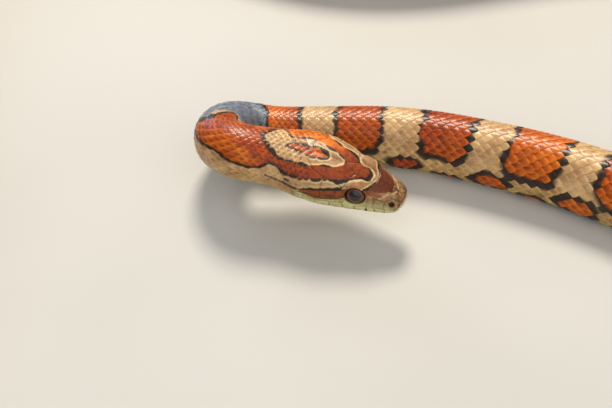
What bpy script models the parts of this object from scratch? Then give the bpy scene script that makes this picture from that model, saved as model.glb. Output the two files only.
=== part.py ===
"""Corn snake, life size: the solids.

A young corn snake rests on its belly with its head and neck held a few
millimetres off the ground. Right behind the head the neck doubles back on
itself, and the rest of the body lies round it in wide, slack bends.

Every solid is a stretch of one tube. The tube's centre line comes from a list
of bends, its section from a few stations along the body, measured in
millimetres from the tip of the snout.
"""
import math

import bmesh
import bpy
import numpy as np
from mathutils import Matrix, Vector

# ---------------------------------------------------------------- sizes, mm
TOTAL = 750.0            # snout to tail tip along the body
HEAD_END = 24.0          # where the head node meets the neck
VENT = 632.0             # start of the tail
GAP = 0.3                # clear space between neighbouring solids
CUTS = (HEAD_END, 70.0, 205.0, 330.0, 450.0, 560.0, VENT)
NAMES = ("neck", "trunk_1", "trunk_2", "trunk_3", "trunk_4", "trunk_5", "tail")
CENTRE = (11.1571, -21.5949)    # middle of the whole model's outline in plan

HEADING = 159.0          # direction from the snout to the nape, degrees in plan
# centre along the body, half length, share of it that eases in and out,
# and turn in degrees (positive is anticlockwise seen from above)
BENDS = (
    (19.0, 9.0, 1.0, 13.0), (36.0, 11.6, 0.5, -172.0), (71.0, 18.0, 1.0, -18.0),
    (100.0, 26.0, 1.0, -14.0), (205.0, 100.0, 0.5, 205.0), (322.0, 32.0, 1.0, 22.0),
    (372.0, 40.0, 1.0, -44.0), (450.0, 54.0, 1.0, 132.0), (530.0, 40.0, 1.0, -34.0),
    (600.0, 44.0, 1.0, 98.0), (666.0, 36.0, 1.0, -54.0), (716.0, 30.0, 1.0, 50.0),
)
# lean of the raised head to its right, degrees
ROLL = ((0.0, 3.5), (24.0, 3.5), (50.0, 0.0), (TOTAL, 0.0))
# height of the belly above the ground
LIFT = ((0.0, 5.5), (23.0, 6.8), (28.0, 6.9), (36.0, 4.4), (42.0, 1.6), (50.0, 0.1), (60.0, 0.0), (70.0, 0.0), (TOTAL, 0.0))

EYE_AT = 7.7             # eye centre behind the snout
EYE_SIDE = 3.52          # and out from the midline
EYE_UP = 3.8             # and above the chin
EYE_RADII = (1.72, 1.52, 1.2)    # along the head, up, and out of the head
EYE_TILT = 16.0          # how far the eye looks up, degrees
EYE_TOE = 9.0            # how far it looks forward, degrees


# ---------------------------------------------------------------- profiles
def stations(points, blunt=True):
    """Smooth monotone curve through (s, value) stations.

    With blunt, s is measured on a square-root scale, which rounds the snout.
    """
    warp = (lambda t: np.sqrt(np.maximum(t, 0.0))) if blunt else (lambda t: t)
    x = warp(np.array([a for a, _ in points], float))
    y = np.array([b for _, b in points], float)
    h = np.diff(x)
    d = np.diff(y) / h
    m = np.zeros(len(x))
    for i in range(1, len(x) - 1):
        if d[i - 1] * d[i] > 0:
            w1, w2 = 2 * h[i] + h[i - 1], h[i] + 2 * h[i - 1]
            m[i] = (w1 + w2) / (w1 / d[i - 1] + w2 / d[i])
    m[0], m[-1] = d[0], d[-1]

    def value(t):
        t = np.clip(warp(np.asarray(t, float)), x[0], x[-1])
        i = np.clip(np.searchsorted(x, t, side="right") - 1, 0, len(x) - 2)
        u = (t - x[i]) / h[i]
        return ((2 * u**3 - 3 * u**2 + 1) * y[i] + (u**3 - 2 * u**2 + u) * h[i] * m[i]
                + (3 * u**2 - 2 * u**3) * y[i + 1] + (u**3 - u**2) * h[i] * m[i + 1])
    return value


HALF_WIDTH = stations((
    (0, 0), (0.12, 1.05), (0.5, 2.05), (1, 2.6), (2, 3.2), (4, 3.85), (7, 4.6), (9, 5.1), (12, 5.9),
    (14.5, 6.35), (17, 6.35), (20, 5.85), (23, 5.15), (27, 4.75), (32, 4.6), (45, 4.65), (70, 5.1),
    (130, 6.3), (220, 7.5), (330, 7.8), (450, 7.3), (560, 6.1), (625, 5.0), (640, 4.6), (690, 3.0),
    (730, 1.55), (747, 0.65), (749.4, 0.35), (750, 0.0)))
TOP = stations((
    (0, 2.0), (0.12, 2.6), (0.5, 3.15), (1, 3.55), (2.2, 4.15), (4, 4.85), (6.2, 5.6), (9, 6.35), (12, 7.05),
    (15, 7.5), (18, 7.75), (21, 7.95), (25, 8.3), (30, 8.85), (45, 9.1), (70, 9.7), (130, 11.6),
    (220, 13.8), (330, 14.4), (450, 13.5), (560, 11.4), (625, 9.4), (640, 8.4), (690, 5.5),
    (730, 2.8), (747, 1.2), (749.4, 0.7), (750, 0.3)))
BOTTOM = stations((
    (0, 2.0), (0.12, 1.55), (0.3, 1.15), (0.6, 0.75), (1, 0.5), (2, 0.25), (4, 0.07), (6, 0.0), (20, 0.0), (TOTAL, 0.0)))
WIDEST = stations((
    (0, 1.9), (1, 1.75), (4, 1.8), (8, 2.0), (14, 2.8), (20, 3.4), (30, 4.1), (70, 4.4), (220, 5.7),
    (450, 5.6), (640, 3.6), (TOTAL - 2, 0.5), (TOTAL, 0.3)))
ROUND_UP = stations(((0, 2.1), (2, 2.2), (5, 2.35), (8, 2.5), (11, 2.6), (15, 2.6), (22, 2.2), (40, 2.05), (TOTAL, 2.05)))
ROUND_DOWN = stations(((0, 2.2), (3, 3.0), (8, 3.1), (14, 2.8), (24, 2.5), (50, 2.8), (200, 3.1), (600, 2.9), (TOTAL, 2.2)))
FLAT = stations(((0, 0.0), (24, 0.0), (62, 0.03), (TOTAL, 0.03)), blunt=False)   # share of the height that the flat belly cuts off


def section(s, phi):
    """Sideways and upward place of the surface at s; phi is 0 at the belly and pi on the back, left positive."""
    b, top, low, mid = HALF_WIDTH(s), TOP(s), BOTTOM(s), WIDEST(s)
    c, n = np.cos(phi), np.sin(phi)
    power = 2.0 / np.where(c < 0, ROUND_UP(s), ROUND_DOWN(s))
    side = b * np.sign(n) * np.abs(n) ** power
    share = np.abs(c) ** power
    up = np.where(c < 0, mid + (top - mid) * share, mid - (mid - low) * share)
    cut = FLAT(s) * top
    return side, np.maximum(up - cut, 0.0) * top / (top - cut)


# ---------------------------------------------------------------- centre line
def eased(u, edge):
    """Share of a bend that is done at u in -1..1: curvature eases in over the edge, holds and eases out."""
    grid = np.linspace(-1, 1, 401)
    k = (1 - np.cos(math.pi * np.minimum(1 - np.abs(grid), edge) / edge)) / 2
    done = np.concatenate([[0.0], np.cumsum((k[1:] + k[:-1]) / 2)])
    return np.interp(np.clip(u, -1, 1), grid, done / done[-1])


def centre_line(step=0.25):
    """Belly line of the whole snake with its frame: s, place, left and up."""
    s = np.arange(0.0, TOTAL + step / 2, step)
    turn = np.full(len(s), math.radians(HEADING))
    for centre, half, edge, degrees in BENDS:
        turn += math.radians(degrees) * eased((s - centre) / half, edge)
    z = stations(LIFT)(s)
    soften = np.hanning(41)
    z = np.convolve(np.pad(z, 20, mode="edge"), soften / soften.sum(), mode="valid")
    dz = np.gradient(z, s)
    level = np.sqrt(1 - dz**2)
    dx, dy = np.cos(turn) * level, np.sin(turn) * level
    x = np.concatenate([[0.0], np.cumsum((dx[1:] + dx[:-1]) / 2 * step)])
    y = np.concatenate([[0.0], np.cumsum((dy[1:] + dy[:-1]) / 2 * step)])
    place = np.stack([x - CENTRE[0], y - CENTRE[1], z], 1)
    along = np.stack([dx, dy, dz], 1)
    along /= np.linalg.norm(along, axis=1)[:, None]
    left = np.cross([0.0, 0.0, 1.0], -along)
    left /= np.linalg.norm(left, axis=1)[:, None]
    up = np.cross(-along, left)
    lean = np.radians(stations(ROLL, blunt=False)(s))[:, None]
    return s, place, left * np.cos(lean) + up * np.sin(lean), up * np.cos(lean) - left * np.sin(lean)


LINE = centre_line()


def frame_at(s):
    """Place, left and up at s (arrays or single values)."""
    out = [np.stack([np.interp(s, LINE[0], part[:, i]) for i in range(3)], -1) for part in LINE[1:]]
    for i in (1, 2):
        out[i] = out[i] / np.linalg.norm(out[i], axis=-1)[..., None]
    return out


def surface(s, phi):
    place, left, up = frame_at(s)
    side, height = section(s, phi)
    return place + side[..., None] * left + height[..., None] * up


# ---------------------------------------------------------------- solids
def paint(name, color, roughness):
    material = bpy.data.materials.new(name)
    material.use_nodes = True
    shader = material.node_tree.nodes["Principled BSDF"]
    shader.inputs["Base Color"].default_value = (*color, 1.0)
    shader.inputs["Roughness"].default_value = roughness
    shader.inputs["Metallic"].default_value = 0.0
    return material


def add(name, verts, faces, material):
    mesh = bpy.data.meshes.new(name)
    mesh.from_pydata([tuple(v) for v in verts], [], faces)
    mesh.validate()
    obj = bpy.data.objects.new(name, mesh)
    bpy.context.scene.collection.objects.link(obj)
    if material:
        mesh.materials.append(material)
    mesh.shade_smooth()
    mesh.set_sharp_from_angle(angle=math.radians(40))
    return obj


def tube(name, rings, around, material, tip_at=None, end_at=None):
    """Closed tube through sections at the given distances; tip_at and end_at close it in a point."""
    rings = np.asarray(rings, float)
    phi = np.arange(around) * 2 * math.pi / around
    grid = surface(np.repeat(rings[:, None], around, 1), np.repeat(phi[None], len(rings), 0)) / 1000.0
    count = len(rings)
    first = surface(np.array([tip_at]), np.array([math.pi]))[0] / 1000.0 if tip_at is not None else grid[0].mean(0)
    last = surface(np.array([end_at]), np.array([math.pi]))[0] / 1000.0 if end_at is not None else grid[-1].mean(0)
    verts = [first, *grid.reshape(-1, 3), last]
    faces = []
    for k in range(around):
        j = (k + 1) % around
        faces.append((0, 1 + k, 1 + j))
        for i in range(count - 1):
            a, b = 1 + i * around, 1 + (i + 1) * around
            faces.append((a + k, b + k, b + j, a + j))
        base = 1 + (count - 1) * around
        faces.append((base + j, base + k, len(verts) - 1))
    return add(name, verts, faces, material)


def spread(start, end, spacing):
    return np.linspace(start, end, max(2, int(round((end - start) / spacing)) + 1))


def eye_frame(side, depth=0.0):
    """Matrix of an eye on side +1 (left) or -1 (right): x along the head, y out of it, z up."""
    place, left, up = (Vector(v) for v in frame_at(EYE_AT))
    forward = left.cross(up)
    out = (left * side * math.cos(math.radians(EYE_TILT)) + up * math.sin(math.radians(EYE_TILT))
           + forward * math.sin(math.radians(EYE_TOE))).normalized()
    x = (forward - out * forward.dot(out)).normalized()
    z = x.cross(out) if side > 0 else out.cross(x)
    centre = place + left * side * EYE_SIDE + up * EYE_UP + out * depth
    turn = Matrix((x, out, z)).transposed().to_4x4()
    if turn.determinant() < 0:
        turn = turn @ Matrix.Scale(-1, 4, Vector((1, 0, 0)))
    return Matrix.Translation(centre / 1000.0) @ turn


def ellipsoid(name, side, grow, material, segments, rings):
    """An eye, or with grow and no material the cutter of its socket."""
    bm = bmesh.new()
    bmesh.ops.create_uvsphere(bm, u_segments=segments, v_segments=rings, radius=1.0)
    rx, rz, ry = (r + grow for r in EYE_RADII)
    # the sphere's poles point in and out of the head
    bm.transform(Matrix.Diagonal((rx / 1000, ry / 1000, rz / 1000, 1)) @ Matrix.Rotation(math.radians(90), 4, "X"))
    bm.transform(eye_frame(side))
    mesh = bpy.data.meshes.new(name)
    bm.to_mesh(mesh)
    bm.free()
    obj = bpy.data.objects.new(name, mesh)
    bpy.context.scene.collection.objects.link(obj)
    mesh.shade_smooth()
    if material:
        mesh.materials.append(material)
    else:
        obj.hide_render = True
        obj.display_type = "WIRE"
    return obj


def main():
    for obj in list(bpy.data.objects):
        bpy.data.objects.remove(obj)

    crown = paint("head_scales", (0.30, 0.10, 0.05), 0.45)
    back = paint("body_scales", (0.42, 0.20, 0.09), 0.45)
    eye = paint("eye", (0.06, 0.02, 0.01), 0.1)

    # head: sections crowd together at the blunt snout and round the eyes
    rings = np.concatenate([[0.04, 0.14, 0.34, 0.65, 1.05, 1.6], spread(2.2, 4.9, 0.9),
                            spread(5.5, 9.9, 0.63), spread(10.8, HEAD_END - GAP / 2, 1.19)])
    head = tube("head", rings, 36, crown, tip_at=0.0)
    for side, tag in ((1, "left"), (-1, "right")):
        ellipsoid("eye_" + tag, side, 0.0, eye, 14, 8)
        cutter = ellipsoid("socket_" + tag, side, 0.3, None, 16, 10)
        cut = head.modifiers.new("socket_" + tag, "BOOLEAN")
        cut.operation = "DIFFERENCE"
        cut.solver = "EXACT"
        cut.object = cutter

    # body: one tube, parted by narrow square cuts
    ends = CUTS + (TOTAL,)
    for name, start, end in zip(NAMES, ends[:-1], ends[1:]):
        a, b = start + GAP / 2, end - GAP / 2
        if name == "neck":
            rings = np.concatenate([[a, 25.9], spread(27.2, 46.4, 1.2), spread(48.2, 56.0, 2.6), spread(60.0, b, 4.9)])
            tube(name, rings, 28, back)
        elif name == "tail":
            rings = np.concatenate([spread(a, 739.0, 7.1), [743.5, 746.6, 748.4, 749.3, 749.8]])
            tube(name, rings, 20, back, end_at=TOTAL)
        else:
            tube(name, spread(a, b, 7.0), 24, back)


if __name__ == "__main__":
    main()
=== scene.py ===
"""Looks of the corn snake: skin, scales, eyes, light and camera.

Lengths inside the shape functions are in millimetres along the body (s, from the
tip of the snout) and round it (g, from the midline of the back, right side
positive). Meshes are written in metres.
"""

import math

import bpy
import numpy as np
from mathutils import Matrix, Vector
from mathutils.kdtree import KDTree


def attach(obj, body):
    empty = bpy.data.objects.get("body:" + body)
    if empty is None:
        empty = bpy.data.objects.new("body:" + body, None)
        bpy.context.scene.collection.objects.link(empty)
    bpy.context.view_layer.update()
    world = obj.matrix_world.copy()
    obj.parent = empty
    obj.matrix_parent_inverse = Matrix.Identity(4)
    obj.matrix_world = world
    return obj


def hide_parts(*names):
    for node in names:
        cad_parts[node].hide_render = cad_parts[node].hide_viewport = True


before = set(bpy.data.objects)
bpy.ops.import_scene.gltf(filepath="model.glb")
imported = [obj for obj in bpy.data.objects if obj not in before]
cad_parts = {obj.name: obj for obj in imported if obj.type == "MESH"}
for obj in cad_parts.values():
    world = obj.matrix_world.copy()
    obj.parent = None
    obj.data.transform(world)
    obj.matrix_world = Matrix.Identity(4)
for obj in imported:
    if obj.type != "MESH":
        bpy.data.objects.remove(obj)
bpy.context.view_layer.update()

# =====================================================================
# body shape: the same profiles and bends as the solids
# =====================================================================
TOTAL = 750.0
VENT = 632.0
CENTRE = (11.1571, -21.5949)
HEADING = 159.0
BENDS = (
    (19.0, 9.0, 1.0, 13.0), (36.0, 11.6, 0.5, -172.0), (71.0, 18.0, 1.0, -18.0),
    (100.0, 26.0, 1.0, -14.0), (205.0, 100.0, 0.5, 205.0), (322.0, 32.0, 1.0, 22.0),
    (372.0, 40.0, 1.0, -44.0), (450.0, 54.0, 1.0, 132.0), (530.0, 40.0, 1.0, -34.0),
    (600.0, 44.0, 1.0, 98.0), (666.0, 36.0, 1.0, -54.0), (716.0, 30.0, 1.0, 50.0),
)
ROLL = ((0.0, 3.5), (24.0, 3.5), (50.0, 0.0), (TOTAL, 0.0))
LIFT = ((0.0, 5.5), (23.0, 6.8), (28.0, 6.9), (36.0, 4.4), (42.0, 1.6), (50.0, 0.1), (60.0, 0.0), (70.0, 0.0), (TOTAL, 0.0))

EYE_AT = 7.7
EYE_SIDE = 3.52
EYE_UP = 3.8
EYE_RADII = (1.72, 1.52, 1.2)
EYE_TILT = 16.0
EYE_TOE = 9.0


def stations(points, blunt=True):
    """Smooth monotone curve through (s, value) stations, on a square-root scale if blunt."""
    warp = (lambda t: np.sqrt(np.maximum(t, 0.0))) if blunt else (lambda t: t)
    x = warp(np.array([a for a, _ in points], float))
    y = np.array([b for _, b in points], float)
    h = np.diff(x)
    d = np.diff(y) / h
    m = np.zeros(len(x))
    for i in range(1, len(x) - 1):
        if d[i - 1] * d[i] > 0:
            w1, w2 = 2 * h[i] + h[i - 1], h[i] + 2 * h[i - 1]
            m[i] = (w1 + w2) / (w1 / d[i - 1] + w2 / d[i])
    m[0], m[-1] = d[0], d[-1]

    def value(t):
        t = np.clip(warp(np.asarray(t, float)), x[0], x[-1])
        i = np.clip(np.searchsorted(x, t, side="right") - 1, 0, len(x) - 2)
        u = (t - x[i]) / h[i]
        return ((2 * u**3 - 3 * u**2 + 1) * y[i] + (u**3 - 2 * u**2 + u) * h[i] * m[i]
                + (3 * u**2 - 2 * u**3) * y[i + 1] + (u**3 - u**2) * h[i] * m[i + 1])
    return value


def curve(*points):
    return stations(points, blunt=False)


HALF_WIDTH = stations((
    (0, 0), (0.12, 1.05), (0.5, 2.05), (1, 2.6), (2, 3.2), (4, 3.85), (7, 4.6), (9, 5.1), (12, 5.9),
    (14.5, 6.35), (17, 6.35), (20, 5.85), (23, 5.15), (27, 4.75), (32, 4.6), (45, 4.65), (70, 5.1),
    (130, 6.3), (220, 7.5), (330, 7.8), (450, 7.3), (560, 6.1), (625, 5.0), (640, 4.6), (690, 3.0),
    (730, 1.55), (747, 0.65), (749.4, 0.35), (750, 0.0)))
TOP = stations((
    (0, 2.0), (0.12, 2.6), (0.5, 3.15), (1, 3.55), (2.2, 4.15), (4, 4.85), (6.2, 5.6), (9, 6.35), (12, 7.05),
    (15, 7.5), (18, 7.75), (21, 7.95), (25, 8.3), (30, 8.85), (45, 9.1), (70, 9.7), (130, 11.6),
    (220, 13.8), (330, 14.4), (450, 13.5), (560, 11.4), (625, 9.4), (640, 8.4), (690, 5.5),
    (730, 2.8), (747, 1.2), (749.4, 0.7), (750, 0.3)))
BOTTOM = stations((
    (0, 2.0), (0.12, 1.55), (0.3, 1.15), (0.6, 0.75), (1, 0.5), (2, 0.25), (4, 0.07), (6, 0.0), (20, 0.0), (TOTAL, 0.0)))
WIDEST = stations((
    (0, 1.9), (1, 1.75), (4, 1.8), (8, 2.0), (14, 2.8), (20, 3.4), (30, 4.1), (70, 4.4), (220, 5.7),
    (450, 5.6), (640, 3.6), (TOTAL - 2, 0.5), (TOTAL, 0.3)))
ROUND_UP = stations(((0, 2.1), (2, 2.2), (5, 2.35), (8, 2.5), (11, 2.6), (15, 2.6), (22, 2.2), (40, 2.05), (TOTAL, 2.05)))
ROUND_DOWN = stations(((0, 2.2), (3, 3.0), (8, 3.1), (14, 2.8), (24, 2.5), (50, 2.8), (200, 3.1), (600, 2.9), (TOTAL, 2.2)))
FLAT = stations(((0, 0.0), (24, 0.0), (62, 0.03), (TOTAL, 0.03)), blunt=False)


def section(s, phi):
    """Sideways and upward place of the outline at s; phi is 0 at the belly and pi on the back, left positive."""
    b, top, low, mid = HALF_WIDTH(s), TOP(s), BOTTOM(s), WIDEST(s)
    c, n = np.cos(phi), np.sin(phi)
    power = 2.0 / np.where(c < 0, ROUND_UP(s), ROUND_DOWN(s))
    side = b * np.sign(n) * np.abs(n) ** power
    share = np.abs(c) ** power
    up = np.where(c < 0, mid + (top - mid) * share, mid - (mid - low) * share)
    cut = FLAT(s) * top
    return side, np.maximum(up - cut, 0.0) * top / (top - cut)


def eased(u, edge):
    grid = np.linspace(-1, 1, 401)
    k = (1 - np.cos(math.pi * np.minimum(1 - np.abs(grid), edge) / edge)) / 2
    done = np.concatenate([[0.0], np.cumsum((k[1:] + k[:-1]) / 2)])
    return np.interp(np.clip(u, -1, 1), grid, done / done[-1])


def centre_line(step=0.05):
    """Belly line of the whole snake with its frame: s, place, left and up."""
    s = np.arange(0.0, TOTAL + step / 2, step)
    turn = np.full(len(s), math.radians(HEADING))
    for centre, half, edge, degrees in BENDS:
        turn += math.radians(degrees) * eased((s - centre) / half, edge)
    z = stations(LIFT)(s)
    soften = np.hanning(201)
    z = np.convolve(np.pad(z, 100, mode="edge"), soften / soften.sum(), mode="valid")
    dz = np.gradient(z, s)
    level = np.sqrt(1 - dz**2)
    dx, dy = np.cos(turn) * level, np.sin(turn) * level
    x = np.concatenate([[0.0], np.cumsum((dx[1:] + dx[:-1]) / 2 * step)])
    y = np.concatenate([[0.0], np.cumsum((dy[1:] + dy[:-1]) / 2 * step)])
    place = np.stack([x - CENTRE[0], y - CENTRE[1], z], 1)
    along = np.stack([dx, dy, dz], 1)
    along /= np.linalg.norm(along, axis=1)[:, None]
    left = np.cross([0.0, 0.0, 1.0], -along)
    left /= np.linalg.norm(left, axis=1)[:, None]
    up = np.cross(-along, left)
    lean = np.radians(stations(ROLL, blunt=False)(s))[:, None]
    return s, place, left * np.cos(lean) + up * np.sin(lean), up * np.cos(lean) - left * np.sin(lean)


LINE = centre_line()


def frame_at(s):
    """Place, left and up at s."""
    out = [np.stack([np.interp(s, LINE[0], part[:, i]) for i in range(3)], -1) for part in LINE[1:]]
    for i in (1, 2):
        out[i] = out[i] / np.linalg.norm(out[i], axis=-1)[..., None]
    return out


def to_world(s, side, up):
    """Point of the bent snake for a point of the straightened one."""
    place, left, high = frame_at(s)
    return place + side[..., None] * left + up[..., None] * high


# =====================================================================
# tables: even steps of arc round the body
# =====================================================================
def even_rings(s, columns):
    """For each s: phi at equal steps of arc, from the belly round the left side, and the girth."""
    dense = np.linspace(0, 2 * math.pi, 721)
    side, up = section(s[:, None] + 0 * dense, dense[None] + 0 * s[:, None])
    run = np.concatenate([np.zeros((len(s), 1)), np.cumsum(np.hypot(np.diff(side, axis=1), np.diff(up, axis=1)), 1)], 1)
    girth = run[:, -1]
    share = np.linspace(0, 1, columns + 1)
    return np.stack([np.interp(share * girth[i], run[i], dense) for i in range(len(s))]), girth


def unit(v):
    return v / np.maximum(np.linalg.norm(v, axis=-1), 1e-12)[..., None]


def grid_normals(p):
    """Outward normals of a grid of rings whose last column repeats the first."""
    ds = np.gradient(p, axis=0)
    q = p[:, :-1]
    dv = np.roll(q, -1, 1) - np.roll(q, 1, 1)
    dv = np.concatenate([dv, dv[:, :1]], 1)
    n = unit(np.cross(dv, ds))
    middle = p.mean(1, keepdims=True)
    return n * np.sign(((p - middle) * n).sum(-1).mean())


TAB_STEP, TAB_COLS = 0.25, 240
TAB_S = np.arange(0.0, TOTAL + 1e-6, TAB_STEP)
TAB_PHI, GIRTH = even_rings(np.maximum(TAB_S, 0.02), TAB_COLS)
_side, _up = section(np.maximum(TAB_S, 0.02)[:, None] + 0 * TAB_PHI, TAB_PHI)
TAB_P = to_world(TAB_S[:, None] + 0 * TAB_PHI, _side, _up)
TAB_N = grid_normals(TAB_P)
TAB_STRETCH = np.linalg.norm(np.gradient(TAB_P, TAB_STEP, axis=0), axis=-1)


def girth_at(s):
    return np.interp(s, TAB_S, GIRTH)


def bilinear(table, s, v):
    fi = np.clip(s / TAB_STEP, 0, len(TAB_S) - 1.001)
    fj = (v % 1.0) * TAB_COLS
    i, j = fi.astype(int), fj.astype(int)
    j = np.minimum(j, TAB_COLS - 1)
    a, b = fi - i, fj - j
    if table.ndim == 3:
        a, b = a[..., None], b[..., None]
    return ((table[i, j] * (1 - b) + table[i, j + 1] * b) * (1 - a)
            + (table[i + 1, j] * (1 - b) + table[i + 1, j + 1] * b) * a)


def lay(s, g, h):
    """World point at s, g and height h over the outline of the solids. g grows to the right."""
    v = 0.5 + g / girth_at(s)
    return bilinear(TAB_P, s, v) + h[..., None] * unit(bilinear(TAB_N, s, v))


# =====================================================================
# noise on (s, g), the same each run
# =====================================================================
def lattice(i, j, seed):
    h = (i.astype(np.int64) * 374761393 + j.astype(np.int64) * 668265263 + seed * 1442695041) & 0x7FFFFFFF
    h = ((h ^ (h >> 13)) * 1274126177) & 0x7FFFFFFF
    return ((h ^ (h >> 16)) & 0xFFFF) / 65535.0


def noise(x, y, seed=0):
    i, j = np.floor(x), np.floor(y)
    u, w = x - i, y - j
    u, w = u * u * (3 - 2 * u), w * w * (3 - 2 * w)
    return ((lattice(i, j, seed) * (1 - u) + lattice(i + 1, j, seed) * u) * (1 - w)
            + (lattice(i, j + 1, seed) * (1 - u) + lattice(i + 1, j + 1, seed) * u) * w) * 2 - 1


def ramp(x, low, high):
    t = np.clip((x - low) / (high - low), 0, 1)
    return t * t * (3 - 2 * t)


# =====================================================================
# scale rows
# =====================================================================
PITCH = curve((0, 1.05), (17, 1.05), (24, 1.1), (32, 1.2), (50, 1.5), (70, 1.8), (130, 2.5), (220, 3.1), (330, 3.2),
              (450, 3.05), (560, 2.7), (632, 2.15), (690, 1.6), (730, 1.15), (TOTAL, 0.8))
ROWS = curve((0, 35), (24, 35), (34, 33), (50, 31), (75, 29), (130, 27), (380, 27), (480, 25), (560, 22.5), (632, 19), (650, 15.5), (690, 11), (725, 8), (TOTAL, 6))
BELLY = curve((0, 5.5), (12, 6.2), (20, 6.8), (32, 7.4), (70, 8.4), (130, 10.3), (220, 12.3), (330, 12.8), (450, 12.0),
              (560, 10.0), (632, 7.6), (690, 4.9), (730, 2.5), (TOTAL, 0.9))     # arc that the belly plates take
ROW_GAP = lambda s: (girth_at(s) - BELLY(s)) / ROWS(s)
COAT = lambda s: np.minimum(0.16 * PITCH(s), 0.36)
GULAR_FROM, BELLY_FROM = 9.2, 19.5

PHASE_S = np.arange(8.0, 749.6, 0.05)
PHASE = np.concatenate([[0.0], np.cumsum(0.05 / ((PITCH(PHASE_S[1:]) + PITCH(PHASE_S[:-1])) / 2))])
phase_at = lambda s: np.interp(s, PHASE_S, PHASE)
s_of_phase = lambda q: np.interp(q, PHASE, PHASE_S)

# where the small scales begin behind the shields of the head, by distance from the midline
NAPE = curve((0, 16.6), (0.8, 17.2), (2.2, 17.5), (3.4, 16.7), (4.3, 15.4), (6.0, 15.6), (7.6, 16.8), (8.6, 18.2), (10.2, 17.6), (30, 17.6))


# =====================================================================
# markings
# =====================================================================
# edge of the red mark of head and first saddle, as (s, distance from the midline, breadth of the black on it):
# right side and left side from the point of the spear back, then the pale field inside it, then the island
OUT_RIGHT = (
    (6.38, 0.0, .50), (6.45, 0.35, .52), (6.6, 0.9, .52), (6.9, 1.25, .50), (7.5, 1.5, .40), (8.0, 1.85, .24), (8.5, 2.26, .14),
    (9.2, 2.82, .24), (9.9, 3.4, .44), (10.6, 3.9, .50), (11.4, 4.2, .40), (12.0, 4.35, .18), (12.4, 4.45, .06), (12.8, 4.6, .18),
    (13.3, 4.8, .08), (13.7, 4.95, .34), (14.4, 5.25, .48), (15.0, 5.4, .34), (15.4, 5.5, .08), (15.9, 5.65, .24), (16.4, 5.8, .08),
    (17.0, 5.9, .26), (17.7, 5.85, .14), (18.1, 5.8, .36), (18.8, 5.8, .48), (19.3, 5.76, .26), (19.7, 5.72, .42), (20.4, 5.4, .62),
    (21.1, 5.0, .50), (21.9, 4.5, .30), (22.6, 4.25, .40), (23.4, 4.3, .34), (24.2, 4.8, .32), (25.0, 5.3, .42), (25.9, 5.5, .30),
    (26.6, 5.55, .44), (27.3, 5.42, .28), (27.8, 5.32, .46), (28.4, 5.2, .36), (28.9, 5.05, .26), (29.4, 4.55, .48), (29.9, 4.4, .34),
    (30.4, 4.44, .46), (31.2, 4.55, .30), (31.8, 4.7, .46), (32.6, 4.85, .34), (33.3, 4.8, .48), (34.0, 4.55, .40), (34.3, 4.1, .55),
    (34.1, 3.5, .50), (33.7, 2.8, .66), (33.35, 2.0, .56), (33.0, 1.2, .70), (32.75, 0.5, .60))
OUT_LEFT = (
    (6.6, 0.55, .40), (7.0, 0.85, .22), (7.6, 0.9, .06), (8.2, 1.0, .06), (9.0, 1.45, .16), (9.5, 1.95, .40), (10.1, 2.4, .54),
    (10.8, 2.65, .42), (11.5, 2.85, .18), (12.2, 3.0, .06), (13.0, 3.25, .34), (13.6, 3.55, .30), (14.3, 3.95, .10), (15.0, 4.6, .06),
    (15.8, 5.3, .24), (16.8, 5.75, .40), (17.6, 5.85, .12), (18.4, 5.8, .40), (19.2, 5.76, .18), (19.9, 5.6, .46), (20.7, 5.3, .30),
    (21.5, 5.0, .46), (22.3, 4.85, .26), (23.2, 4.85, .44), (24.2, 5.0, .26), (25.2, 5.35, .44), (26.2, 5.5, .28), (27.1, 5.4, .46),
    (28.0, 5.2, .30), (28.9, 5.0, .48), (29.8, 4.7, .30), (30.7, 4.6, .46), (31.6, 4.6, .32), (32.4, 4.6, .46), (33.2, 4.4, .36),
    (33.7, 3.9, .50), (33.6, 3.1, .48), (33.2, 2.2, .60), (32.85, 1.3, .54), (32.7, 0.5, .66))
IN_RIGHT = (
    (10.75, 0.0, .05), (10.85, 0.5, .05), (11.3, 1.2, .06), (11.9, 1.8, .06), (12.6, 2.15, .12), (13.2, 2.35, .36), (13.8, 2.5, .42),
    (14.3, 2.58, .16), (14.8, 2.75, .05), (15.6, 3.05, .05), (16.3, 3.3, .10), (17.0, 3.5, .42), (17.7, 3.55, .54), (18.3, 3.5, .38),
    (18.8, 3.5, .14), (19.3, 3.5, .36), (20.1, 3.48, .44), (20.7, 3.45, .14), (21.1, 3.42, .36), (21.8, 3.2, .48), (22.3, 2.95, .30),
    (22.8, 2.65, .60), (23.4, 2.15, .82), (23.9, 1.6, .60), (24.4, 0.95, .66), (24.8, 0.4, .46))
IN_LEFT = (
    (11.0, 0.3, .06), (11.4, 0.65, .16), (12.0, 0.95, .22), (12.7, 1.2, .10), (13.2, 1.42, .34), (13.9, 1.5, .42), (14.5, 1.6, .20),
    (15.1, 1.85, .05), (15.8, 2.15, .04), (16.4, 2.32, .06), (17.1, 2.36, .14), (17.7, 2.3, .32), (18.1, 2.2, .10), (18.6, 2.0, .34),
    (19.3, 1.88, .36), (19.9, 1.8, .12), (20.4, 1.74, .34), (20.8, 1.85, .34), (21.1, 2.5, .14), (21.5, 3.3, .30), (22.1, 3.8, .36),
    (22.8, 3.8, .26), (23.5, 3.2, .46), (24.2, 2.25, .50), (24.7, 1.5, .30), (25.2, 0.75, .52))
ISLE_RIGHT = (
    (13.56, 0.40, .20), (13.8, 0.78, .26), (14.4, 1.12, .34), (15.0, 1.33, .38), (15.4, 1.44, .06), (15.75, 1.5, .30), (16.3, 1.56, .38),
    (16.8, 1.53, .08), (17.28, 1.38, .38), (17.7, 1.26, .10), (18.12, 1.17, .14), (18.84, 1.1, .32), (19.5, 0.9, .30), (20.2, 0.82, .14),
    (20.7, 0.62, .38))
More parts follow.
